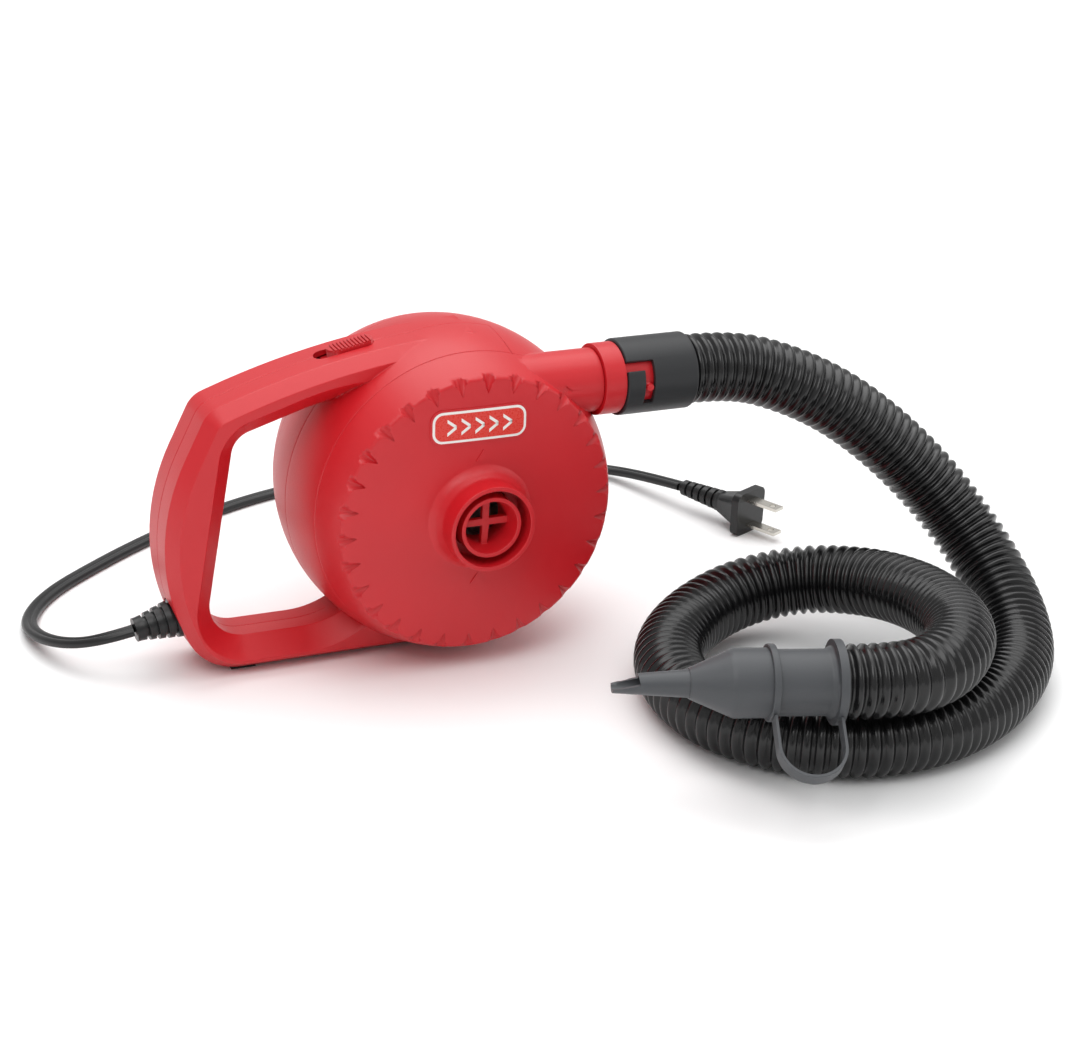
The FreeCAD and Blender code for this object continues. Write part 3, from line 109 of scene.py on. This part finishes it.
def finish_of(name, colour, rough, grain, height, vary=0.08, **shader_values):
    """A finish with a grain of that size and height in metres, and a colour that varies a little."""
    made = bpy.data.materials.new(name)
    made.use_nodes = True
    tree = made.node_tree
    shader = tree.nodes["Principled BSDF"]
    for key, value in shader_values.items():
        shader.inputs[key.replace("_", " ")].default_value = value
    place = add(tree, "ShaderNodeTexCoord").outputs["Object"]
    fine = add(tree, "ShaderNodeTexNoise", {"Vector": place, "Scale": 1 / grain, "Detail": 3.0})
    broad = add(tree, "ShaderNodeTexNoise", {"Vector": place, "Scale": BROAD_SCALE, "Detail": 4.0})
    tone = add(tree, "ShaderNodeMix", {"Factor": broad.outputs[0]}, data_type="RGBA")
    tone.inputs["A"].default_value = [v * (1 - vary) for v in colour] + [1]
    tone.inputs["B"].default_value = [min(1, v * (1 + vary)) for v in colour] + [1]
    tree.links.new(tone.outputs["Result"], shader.inputs["Base Color"])
    gloss = add(tree, "ShaderNodeMapRange", {
        "Value": fine.outputs[0], "To Min": rough - GLOSS_VARY, "To Max": rough + GLOSS_VARY})
    tree.links.new(gloss.outputs[0], shader.inputs["Roughness"])
    bump = add(tree, "ShaderNodeBump", {"Height": fine.outputs[0], "Distance": height})
    tree.links.new(bump.outputs[0], shader.inputs["Normal"])
    return made


red_plastic = finish_of("red_plastic", linear(196, 22, 32), 0.40, 0.0006, 0.00005)
switch_red = finish_of("switch_red", linear(190, 26, 34), 0.38, 0.0008, 0.00003)
hose_black = finish_of("hose_black", linear(16, 16, 17), 0.22, 0.003, 0.00005,
                       Specular_IOR_Level=0.42)
cord_black = finish_of("cord_black", linear(18, 18, 19), 0.34, 0.0012, 0.00003,
                       Specular_IOR_Level=0.4)
matte_black = finish_of("matte_black", linear(36, 37, 39), 0.46, 0.0007, 0.00005,
                        Specular_IOR_Level=0.4)
nozzle_grey = finish_of("nozzle_grey", linear(70, 72, 75), 0.46, 0.0007, 0.00005,
                        Specular_IOR_Level=0.4)
badge_white = finish_of("badge_white", linear(236, 234, 230), 0.3, 0.0008, 0.00001, vary=0.01)
badge_field = finish_of("badge_field", linear(214, 44, 30), 0.28, 0.0008, 0.000004, vary=0.02)
foot_rubber = finish_of("foot_rubber", linear(24, 24, 24), 0.75, 0.0009, 0.00008)
nickel = finish_of("nickel", linear(206, 202, 194), 0.24, 0.0006, 0.00001, Metallic=1.0)
steel = finish_of("steel", linear(176, 178, 180), 0.32, 0.0006, 0.00001, Metallic=1.0)
copper = finish_of("copper", linear(190, 112, 74), 0.3, 0.0004, 0.00004, Metallic=1.0)
bronze = finish_of("bronze", linear(172, 132, 84), 0.4, 0.0004, 0.00003, Metallic=1.0)
carbon = finish_of("carbon", linear(40, 40, 42), 0.6, 0.0004, 0.00003)
inner_plastic = finish_of("inner_plastic", linear(196, 196, 190), 0.45, 0.0006, 0.00003)
lead_red = finish_of("lead_red", linear(120, 24, 26), 0.4, 0.0010, 0.00002)
print(len(bpy.data.materials), "finishes")

# %% [markdown]
# ## Two small trees of nodes
# Both the hose and the lead are one profile swept along one smooth line. A Geometry Nodes tree does
# that well: the line stays a real spline, and the ribs come from a wave along its length.


# %% Helpers for Geometry Nodes
def new_tree(name, inputs):
    """A tree with a geometry input and output and the named inputs (label, kind, value)."""
    tree = bpy.data.node_groups.new(name, "GeometryNodeTree")
    tree.interface.new_socket("Geometry", in_out="INPUT", socket_type="NodeSocketGeometry")
    tree.interface.new_socket("Geometry", in_out="OUTPUT", socket_type="NodeSocketGeometry")
    for label, kind, value in inputs:
        made = tree.interface.new_socket(label, in_out="INPUT", socket_type="NodeSocket" + kind)
        if value is not None:
            made.default_value = value
    return tree, tree.nodes.new("NodeGroupInput").outputs, tree.nodes.new("NodeGroupOutput").inputs


def calc(tree, operation, *values):
    """The result of one math node on values or sockets."""
    return add(tree, "ShaderNodeMath", dict(enumerate(values)), operation=operation).outputs[0]


def close_tree(tree, geometry, material, end):
    """Shade smooth, make instances real and give the material, as every tree here ends."""
    shaded = add(tree, "GeometryNodeSetShadeSmooth", {"Geometry": geometry, "Shade Smooth": True})
    real = add(tree, "GeometryNodeRealizeInstances", {"Geometry": shaded.outputs[0]})
    painted = add(tree, "GeometryNodeSetMaterial", {"Geometry": real.outputs[0], "Material": material})
    tree.links.new(painted.outputs[0], end["Geometry"])


def run_tree(carrier, tree, name, values):
    """Evaluate the tree on the carrier and keep the result as a plain mesh piece of the housing."""
    modifier = carrier.modifiers.new("tree", "NODES")
    modifier.node_group = tree
    for item in tree.interface.items_tree:
        if item.in_out == "INPUT" and item.name in values:
            modifier[item.identifier] = values[item.name]
    depsgraph = bpy.context.evaluated_depsgraph_get()
    piece = bpy.data.objects.new(name, bpy.data.meshes.new_from_object(
        carrier.evaluated_get(depsgraph)))
    collection.objects.link(piece)
    bpy.data.objects.remove(carrier)
    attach(piece, "housing")
    print(name, len(piece.data.polygons), "faces")
    return piece


# %% [markdown]
# ## Hose
# The hose is black corrugated vinyl, 31 mm across, with a rib about every 5 mm. It leaves the
# bayonet collar level, sags to the table, runs once round and comes back over itself to the nozzle.
# Its route is a NURBS spline led by a few control points, which bends as a real hose does.


# %% Lines through the routes
def laid_line(name, route):
    """A NURBS spline led by a route's points in metres, without thickness."""
    data = bpy.data.curves.new(name, "CURVE")
    data.dimensions = "3D"
    spline = data.splines.new("NURBS")
    spline.points.add(len(route) - 1)
    for point, spot in zip(spline.points, route):
        point.co = (*spot, 1)
    spline.order_u = 3
    spline.use_endpoint_u = True
    spline.resolution_u = 16
    line = bpy.data.objects.new(name, data)
    collection.objects.link(line)
    return line


def followed(line):
    """The points and the length of a line, read from its own spline."""
    mesh = bpy.data.meshes.new_from_object(line)
    spots = [v.co.copy() for v in mesh.vertices]
    bpy.data.meshes.remove(mesh)
    return spots, sum((b - a).length for a, b in zip(spots, spots[1:]))


HOSE_ROUTE = [
    (0.1032, -0.026, 0.124), (0.127, -0.026, 0.124), (0.152, -0.031, 0.117), (0.177, -0.036, 0.105),
    (0.200, -0.043, 0.088), (0.220, -0.053, 0.068), (0.234, -0.067, 0.048), (0.240, -0.086, 0.032),
    (0.237, -0.110, 0.021), (0.225, -0.135, 0.0157), (0.204, -0.158, 0.0157),
    (0.176, -0.177, 0.0157), (0.144, -0.187, 0.0157), (0.112, -0.185, 0.0157),
    (0.084, -0.170, 0.0157), (0.067, -0.144, 0.0157), (0.064, -0.114, 0.0157),
    (0.074, -0.084, 0.0157), (0.097, -0.060, 0.017), (0.128, -0.049, 0.022),
    (0.158, -0.056, 0.028), (0.178, -0.080, 0.034), (0.184, -0.112, 0.040),
    (0.180, -0.143, 0.044), (0.168, -0.170, 0.0475), (0.148, -0.190, 0.0485),
    (0.1228, -0.198, 0.0485), (0.097, -0.190, 0.0485)]
hose_line = laid_line("hose_line", HOSE_ROUTE)
hose_spots, hose_length = followed(hose_line)
print("hose length", round(hose_length, 4), "points", len(hose_spots))

# %% The ribbed tube
ribbed, given, end = new_tree("ribbed_tube", [
    ("Radius", "Float", 15.5 * MM), ("Rib depth", "Float", 2.0 * MM), ("Pitch", "Float", 4.9 * MM),
    ("Sides", "Int", 40), ("Material", "Material", None)])
STEPS_A_RIB, GROOVE_POWER = 8, 1.6
evened = add(ribbed, "GeometryNodeResampleCurve", {
    "Curve": given["Geometry"], "Length": calc(ribbed, "DIVIDE", given["Pitch"], STEPS_A_RIB)},
    mode="LENGTH")
along = add(ribbed, "GeometryNodeSplineParameter").outputs["Length"]
turns = calc(ribbed, "MULTIPLY", calc(ribbed, "DIVIDE", along, given["Pitch"]), math.tau)
wave = calc(ribbed, "MULTIPLY_ADD", calc(ribbed, "COSINE", turns), 0.5, 0.5)
groove = calc(ribbed, "MULTIPLY", calc(ribbed, "POWER", wave, GROOVE_POWER), given["Rib depth"])
ring = add(ribbed, "GeometryNodeCurvePrimitiveCircle", {"Resolution": given["Sides"], "Radius": 1.0})
swept = add(ribbed, "GeometryNodeCurveToMesh", {
    "Curve": evened.outputs[0], "Profile Curve": ring.outputs[0], "Fill Caps": True,
    "Scale": calc(ribbed, "SUBTRACT", given["Radius"], groove)})
close_tree(ribbed, swept.outputs[0], given["Material"], end)
hose = run_tree(hose_line, ribbed, "ribbed_hose", {"Material": hose_black})
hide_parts("hose_tube")

# %% [markdown]
# ## Mains lead
# The lead is flat twin cord: two insulated wires side by side with a shallow valley between them.
# Its profile is a closed curve, kept level by turning the sweep's normals up, so that the cord lies
# flat on the table as a flat cord does.

# %% The flat twin lead
CORD_ROUTE = [
    (-0.1406, 0, 0.0205), (-0.1525, 0.0015, 0.0175), (-0.164, 0.012, 0.012),
    (-0.172, 0.029, 0.0075), (-0.174, 0.050, 0.004), (-0.166, 0.071, 0.002),
    (-0.151, 0.089, 0.00195), (-0.131, 0.105, 0.00195), (-0.102, 0.126, 0.00195),
    (-0.064, 0.149, 0.00195), (-0.022, 0.167, 0.00195), (0.030, 0.177, 0.00195),
    (0.085, 0.177, 0.00195), (0.127, 0.165, 0.00195), (0.155, 0.142, 0.004),
    (0.1655, 0.1165, 0.0085), (0.1737, 0.0946, 0.011)]
CORD_WIDE, CORD_TALL = 7.2 * MM, 3.8 * MM
WIRE_STEPS, STEP_TURN = 10, 14.2


def twin_profile():
    """Closed outline of two round wires joined at the middle."""
    data = bpy.data.curves.new("twin_profile", "CURVE")
    spline = data.splines.new("POLY")
    wire = CORD_TALL / 2
    apart = CORD_WIDE / 2 - wire
    spots = []
    for side in (1, -1):
        for step in range(-WIRE_STEPS, WIRE_STEPS + 1):
            angle = math.radians(step * STEP_TURN)
            spots.append((side * (apart + wire * math.cos(angle)), side * wire * math.sin(angle)))
    spline.points.add(len(spots) - 1)
    for point, (x, y) in zip(spline.points, spots):
        point.co = (x, y, 0, 1)
    spline.use_cyclic_u = True
    made = bpy.data.objects.new("twin_profile", data)
    collection.objects.link(made)
    return made


flat, given, end = new_tree("flat_lead", [
    ("Profile", "Object", None), ("Step", "Float", 1.6 * MM), ("Material", "Material", None)])
evened = add(flat, "GeometryNodeResampleCurve", {
    "Curve": given["Geometry"], "Length": given["Step"]}, mode="LENGTH")
upright = add(flat, "GeometryNodeSetCurveNormal", {"Curve": evened.outputs[0]}, mode="Z_UP")
outline = add(flat, "GeometryNodeObjectInfo", {"Object": given["Profile"]})
swept = add(flat, "GeometryNodeCurveToMesh", {
    "Curve": upright.outputs[0], "Profile Curve": outline.outputs["Geometry"], "Fill Caps": True})
close_tree(flat, swept.outputs[0], given["Material"], end)
cord_line = laid_line("cord_line", CORD_ROUTE)
cord_spots, cord_length = followed(cord_line)
profile = twin_profile()
lead = run_tree(cord_line, flat, "mains_lead", {"Profile": profile, "Material": cord_black})
bpy.data.objects.remove(profile)
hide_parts("power_cord")
print("lead length", round(cord_length, 4))

# %% [markdown]
# ## Mesh helpers
# Moulded parts have no knife edges. A copy of the CAD solid's mesh is welded, its flat triangles
# are joined, and each crease that has room gets a small bevel. Normals weighted by face size then
# keep the broad facets flat beside it.

# %% Keep a shape, round its edges
WELD_WITHIN = 0.01 * MM
FLAT_WITHIN = math.radians(0.05)
SMOOTH_UNDER = math.radians(38)
NORMAL_WEIGHT = 60


def welded(node):
    """A copy of a CAD node's mesh with its loose triangles joined."""
    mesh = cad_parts[node].data.copy()
    shape = bmesh.new()
    shape.from_mesh(mesh)
    bmesh.ops.remove_doubles(shape, verts=shape.verts, dist=WELD_WITHIN)
    bmesh.ops.dissolve_limit(shape, angle_limit=FLAT_WITHIN, verts=shape.verts, edges=shape.edges)
    shape.to_mesh(mesh)
    shape.free()
    return mesh


def keep(piece, material, slot, body, *replaced):
    """Give a mesh its finish and its body, if one is given, and hide the nodes it stands for."""
    piece.data.materials.clear()
    piece.data.materials.append(material)
    if body:
        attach(piece, body)
    if replaced:
        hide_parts(*replaced)


def final_mesh(piece):
    """Apply the piece's modifiers, so that its mesh is plain."""
    depsgraph = bpy.context.evaluated_depsgraph_get()
    mesh = bpy.data.meshes.new_from_object(piece.evaluated_get(depsgraph))
    piece.modifiers.clear()
    piece.data = mesh


def mark_edges(mesh, sharp, room):
    """Mark the edges sharper than that in degrees whose neighbours leave room for a bevel."""
    shape = bmesh.new()
    shape.from_mesh(mesh)
    weight = shape.edges.layers.float.new("bevel_weight_edge")
    for edge in shape.edges:
        nearest = min(other.calc_length() for spot in edge.verts for other in spot.link_edges)
        if edge.is_manifold and edge.calc_face_angle() > math.radians(sharp) and nearest > room:
            edge[weight] = 1.0
    shape.to_mesh(mesh)
    shape.free()


def softened(node, name, material, slot, body="housing", width=0.4 * MM, sharp=32, cutter=None):
    """The node's own shape, cut where a cutter is given, with rounded edges and even shading."""
    piece = bpy.data.objects.new(name, welded(node))
    collection.objects.link(piece)
    if cutter:
        hole = piece.modifiers.new("hole", "BOOLEAN")
        hole.object = cutter
        hole.operation = "DIFFERENCE"
        hole.solver = "EXACT"
        final_mesh(piece)
    mark_edges(piece.data, sharp, 2 * width)
    edge = piece.modifiers.new("edge", "BEVEL")
    edge.width = width
    edge.segments = 2
    edge.limit_method = "WEIGHT"
    edge.use_clamp_overlap = False
    final_mesh(piece)
    piece.data.shade_smooth()
    piece.data.set_sharp_from_angle(angle=SMOOTH_UNDER)
    even = piece.modifiers.new("even", "WEIGHTED_NORMAL")
    even.weight = NORMAL_WEIGHT
    even.keep_sharp = True
    final_mesh(piece)
    keep(piece, material, slot, body, node)
    print(name, len(piece.data.polygons), "faces")
    return piece


def new_piece(name, spots, faces):
    """A mesh object from points in metres and faces."""
    mesh = bpy.data.meshes.new(name)
    mesh.from_pydata([tuple(s) for s in spots], [], faces)
    piece = bpy.data.objects.new(name, mesh)
    collection.objects.link(piece)
    return piece


def face_outwards(piece):
    """Turn every face of a closed mesh outwards."""
    shape = bmesh.new()
    shape.from_mesh(piece.data)
    bmesh.ops.recalc_face_normals(shape, faces=shape.faces)
    shape.to_mesh(piece.data)
    shape.free()
    return piece


# %% [markdown]
# ## Handle and drum band
# The handle and the middle of the drum are two shells that meet in the pump's middle plane. The
# handle's section is a flattened hexagon, so light shows a bright top facet and a darker side one.
# The facets stay crisp, and only their edges are rounded.

# %% Round the edges of the two shells
for name, node in (("handle_front", "handle_shell_front"), ("handle_rear", "handle_shell_rear")):
    softened(node, name, red_plastic, "red_plastic", width=0.35 * MM, sharp=14)

# %% [markdown]
# ## Moulded parts that the CAD already shapes well
# The covers, the port's grille, the bayonet ring, the button, the hose's end pieces, the relief and
# the plug keep their CAD shape. A small bevel turns their knife edges into moulded ones. The notches
# round each cover's rim are cut longer here than in the solid, so that they run over its edge.

# %% Ring of notches
AXIS_Z = 74.0
FIRST_NOTCH = math.radians(4)


def notch_ring(side, count=30, base=4.0, length=12.0, out=67.0, y=42.8, sides=20):
    """Cones that point at the drum's axis, one at each notch of a cover's rim, sizes in mm."""
    spots, faces = [], []
    for i in range(count):
        angle = FIRST_NOTCH + math.tau * i / count
        away = Vector((math.cos(angle), 0, math.sin(angle)))
        across = Vector((-math.sin(angle), 0, math.cos(angle)))
        middle = Vector((0, side * y, AXIS_Z))
        first = len(spots)
        spots.append((middle + away * (out - length)) * MM)
        for j in range(sides):
            turn = math.tau * j / sides
            spots.append((middle + away * out + across * base * math.cos(turn)
                          + Vector((0, base * math.sin(turn), 0))) * MM)
        faces += [(first, first + 1 + j, first + 1 + (j + 1) % sides) for j in range(sides)]
        faces.append(tuple(first + 1 + j for j in range(sides)))
    return face_outwards(new_piece("notches", spots, faces))


# %% Soften the moulded parts
covers = []
for node, name, side in (("front_cover", "cover_front", -1), ("rear_cover", "cover_rear", 1)):
    notches = notch_ring(side)
    covers.append(softened(node, name, red_plastic, "red_plastic", width=0.35 * MM, cutter=notches))
    bpy.data.objects.remove(notches)
front_cover = covers[0]
softened("port_grille", "inlet_grille", red_plastic, "red_plastic", width=0.3 * MM)
softened("outlet_nipple", "bayonet_ring", red_plastic, "red_plastic", width=0.3 * MM)
softened("switch_slider", "switch_button", switch_red, "red_switch", "slider", 0.2 * MM)
collar = softened("hose_collar", "bayonet_collar", matte_black, "collar_plastic", width=0.4 * MM)
relief = softened("cord_strain_relief", "cord_relief", cord_black, "cord_vinyl", width=0.3 * MM)
plug = softened("plug_body", "plug_moulding", cord_black, "cord_vinyl", width=0.8 * MM)
cuff = softened("hose_end_cuff", "hose_cuff", nozzle_grey, "collar_plastic", width=0.5 * MM)
nozzle = softened("nozzle", "nozzle_tip", nozzle_grey, "collar_plastic", "nozzle_end", 0.5 * MM)
tether = softened("nozzle_tether", "nozzle_strap", nozzle_grey, "collar_plastic", None, 0.2 * MM)

# the strap joins a ring on the cuff to a ring on the nozzle, so it crosses the nozzle's joint
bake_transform(tether)

# %% [markdown]
# ## Badge and raised marks
# A round-ended badge sits above the inlet. It is three thin plates laid on the cover's own surface,
# found by casting rays at it. Its place for a name holds plain chevrons. Two small raised arrows
# stand above and below the inlet, where such a cover has moulded words.

# %% Plates laid on the cover
RAY_FROM = -200 * MM
PLATE_SUNK = 0.6 * MM
PLATE_SMOOTH_UNDER = math.radians(40)
cover_surface = BVHTree.FromPolygons([v.co for v in front_cover.data.vertices],
                                     [tuple(p.vertices) for p in front_cover.data.polygons])


def on_cover(x, z, lift):
    """The point in front of the cover at (x, z), lifted off its surface, all in metres."""
    found = cover_surface.ray_cast(Vector((x, RAY_FROM, z)), Vector((0, 1, 0)))[0]
    return Vector((x, found.y - lift, z))


def laid_plate(name, edges_at, columns, rows, lift, material):
    """A closed plate laid on the cover; edges_at gives its lower and upper edge at an x."""
    spots, faces = [], []
    for x in columns:
        low, high = edges_at(x)
        for row in range(rows + 1):
            z = low + (high - low) * row / rows
            spots.append(on_cover(x, z, lift))
    count = len(spots)
    spots += [s + Vector((0, PLATE_SUNK + lift, 0)) for s in spots]
    wide = rows + 1
    for i in range(len(columns) - 1):
        for j in range(rows):
            quad = (i * wide + j, (i + 1) * wide + j, (i + 1) * wide + j + 1, i * wide + j + 1)
            faces += [quad, tuple(v + count for v in reversed(quad))]
    rim = list(range(wide)) + [i * wide + rows for i in range(1, len(columns))]
    rim += [(len(columns) - 1) * wide + j for j in range(rows - 1, -1, -1)]
    rim += [i * wide for i in range(len(columns) - 2, 0, -1)]
    faces += [(a, b, b + count, a + count) for a, b in zip(rim, rim[1:] + rim[:1])]
    plate = face_outwards(new_piece(name, spots, faces))
    plate.data.shade_smooth()
    plate.data.set_sharp_from_angle(angle=PLATE_SMOOTH_UNDER)
    keep(plate, material, "red_plastic", "housing")


# %% The badge
BADGE_X, BADGE_Z = -2.0 * MM, 116.5 * MM
LEAST_HALF = 0.2 * MM


def badge_edges(width, height, corner):
    """The edges of a rounded rectangle round the badge's middle."""
    def edges(x):
        over = abs(x - BADGE_X) - (width / 2 - corner)
        cut = corner - math.sqrt(max(0.0, corner ** 2 - over ** 2)) if over > 0 else 0
        half = max(height / 2 - cut, LEAST_HALF)
        return BADGE_Z - half, BADGE_Z + half
    return edges


def badge_columns(width, steps=30):
    """Places across the badge, closer together towards its round ends."""
    return [BADGE_X + width * (0.5 - 0.5 * math.cos(math.pi * i / steps)) - width / 2
            for i in range(steps + 1)]


for name, width, height, corner, lift, material in (
        ("badge_frame", 45.0, 15.6, 5.4, 0.45, red_plastic),
        ("badge_border", 43.0, 13.8, 4.6, 0.62, badge_white),
        ("badge_field", 40.8, 11.6, 3.6, 0.72, badge_field)):
    laid_plate(name, badge_edges(width * MM, height * MM, corner * MM), badge_columns(width * MM), 4,
               lift * MM, material)

CHEVRONS, CHEVRON_STEP = 5, 6.4 * MM
CHEVRON_LONG, CHEVRON_TALL, CHEVRON_THICK = 4.2 * MM, 3.0 * MM, 1.5 * MM


def chevron(name, x_middle):
    """One raised chevron as two laid strips that meet at its tip."""
    for part, side in enumerate((1, -1)):
        def edges(x, side=side):
            share = (x - x_middle) / CHEVRON_LONG + 0.5
            z = BADGE_Z + side * CHEVRON_TALL * (1 - share)
            return z - CHEVRON_THICK / 2, z + CHEVRON_THICK / 2
        columns = [x_middle + CHEVRON_LONG * (i / 8 - 0.5) for i in range(9)]
        laid_plate(f"{name}_{part}", edges, columns, 1, 0.82 * MM, badge_white)


for number in range(CHEVRONS):
    chevron(f"badge_mark_{number}", BADGE_X + (number - (CHEVRONS - 1) / 2) * CHEVRON_STEP)

# %% Two raised arrows beside the inlet
ARROW_HALF, ARROW_TALL, ARROW_LEAST = 3.2 * MM, 5.0 * MM, 0.15 * MM


def arrowhead(low):
    """The edges of an upright triangle on its base at that height."""
    def edges(x):
        return low, low + max(ARROW_TALL * (1 - abs(x) / ARROW_HALF), ARROW_LEAST)
    return edges


for name, above_axis in (("arrow_upper", 26 * MM), ("arrow_lower", -31 * MM)):
    columns = [ARROW_HALF * (i / 8 - 1) for i in range(17)]
    laid_plate(name, arrowhead(AXIS_Z * MM + above_axis), columns, 2, 0.4 * MM, red_plastic)

# %% [markdown]
# ## Everything that keeps its CAD mesh
# The motor, the blower wheel and the screws sit inside the covers. Their CAD shapes stay, and each
# gets the finish of its own metal or plastic.

# %% Finishes for the kept nodes
KEPT = (
    (inner_plastic, ("impeller", "cooling_fan", "scroll_plate", "motor_bracket", "brush_holder_left",
                     "brush_holder_right", "switch_body")),
    (foot_rubber, ("foot_middle", "foot_heel")),
    (steel, ("field_stack", "armature_core", "motor_shaft", "motor_screws", "tie_screws",
             "handle_screws")),
    (copper, ("field_coils", "armature_windings", "commutator")),
    (bronze, ("bearing_front", "bearing_rear")),
    (carbon, ("brush_left", "brush_right")),
    (lead_red, ("inner_leads",)),
    (nickel, ("plug_blades",)))
for finish, names in KEPT:
    for name in names:
        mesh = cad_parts[name].data
        mesh.materials.clear()
        mesh.materials.append(finish)
print("kept nodes", sum(len(names) for _, names in KEPT))

# %% [markdown]
# ## Floor and light
# A plain white floor and three broad soft lights show a glossy moulding best: a long bright band
# along each rounded edge and a soft shadow under the part. A fourth, wide light from above is the
# same everywhere, so that the floor stays white far behind the part. The world lights the part a
# little from everywhere, and shows as plain white to the camera and light grey in glossy surfaces.

# %% Floor
SIDE, FRONT, BACK = 4, -4, 6
floor = new_piece("floor", [(-SIDE, FRONT, 0), (SIDE, FRONT, 0), (SIDE, BACK, 0), (-SIDE, BACK, 0)],
                  [(0, 1, 2, 3)])
white = bpy.data.materials.new("white_floor")
white.use_nodes = True
tree = white.node_tree
shader = tree.nodes["Principled BSDF"]
shader.inputs["Base Color"].default_value = (0.97, 0.97, 0.97, 1)
shader.inputs["Roughness"].default_value = 0.9
floor.data.materials.append(white)

# %% Lights and world
LIT_POINT = Vector((0, 0, 0.05))
WORLD_LIGHT, GLOSSY_SHARE = 0.42, 0.4


def soft_light(name, place, size, power):
    """A square area light of that power in watts, which looks at the lower middle of the drum."""
    light = bpy.data.objects.new(name, bpy.data.lights.new(name, "AREA"))
    light.data.size = size
    light.data.energy = power
    light.location = place
    light.rotation_euler = (LIT_POINT - Vector(place)).to_track_quat("-Z", "Y").to_euler()
    collection.objects.link(light)


soft_light("key", (-0.7, -0.9, 1.5), 1.0, 10)
soft_light("fill", (1.4, -0.9, 0.9), 1.0, 4)
soft_light("top", (0.1, 0.6, 1.6), 1.2, 6)

even_light = bpy.data.objects.new("even", bpy.data.lights.new("even", "SUN"))
even_light.data.energy = 1.7
even_light.data.angle = math.radians(70)
even_light.rotation_euler = (math.radians(-12), math.radians(8), 0)
collection.objects.link(even_light)

world = bpy.data.worlds.new("studio")
bpy.context.scene.world = world
world.use_nodes = True
tree = world.node_tree
sky = tree.nodes["Background"]
sky.inputs["Color"].default_value = (1, 1, 1, 1)
rays = add(tree, "ShaderNodeLightPath")
seen = calc(tree, "MAXIMUM", rays.outputs["Is Camera Ray"],
            calc(tree, "MULTIPLY", rays.outputs["Is Glossy Ray"], GLOSSY_SHARE))
strength = calc(tree, "MULTIPLY_ADD", seen, 1 - WORLD_LIGHT, WORLD_LIGHT)
tree.links.new(strength, sky.inputs["Strength"])
bpy.context.scene.view_settings.view_transform = "Standard"
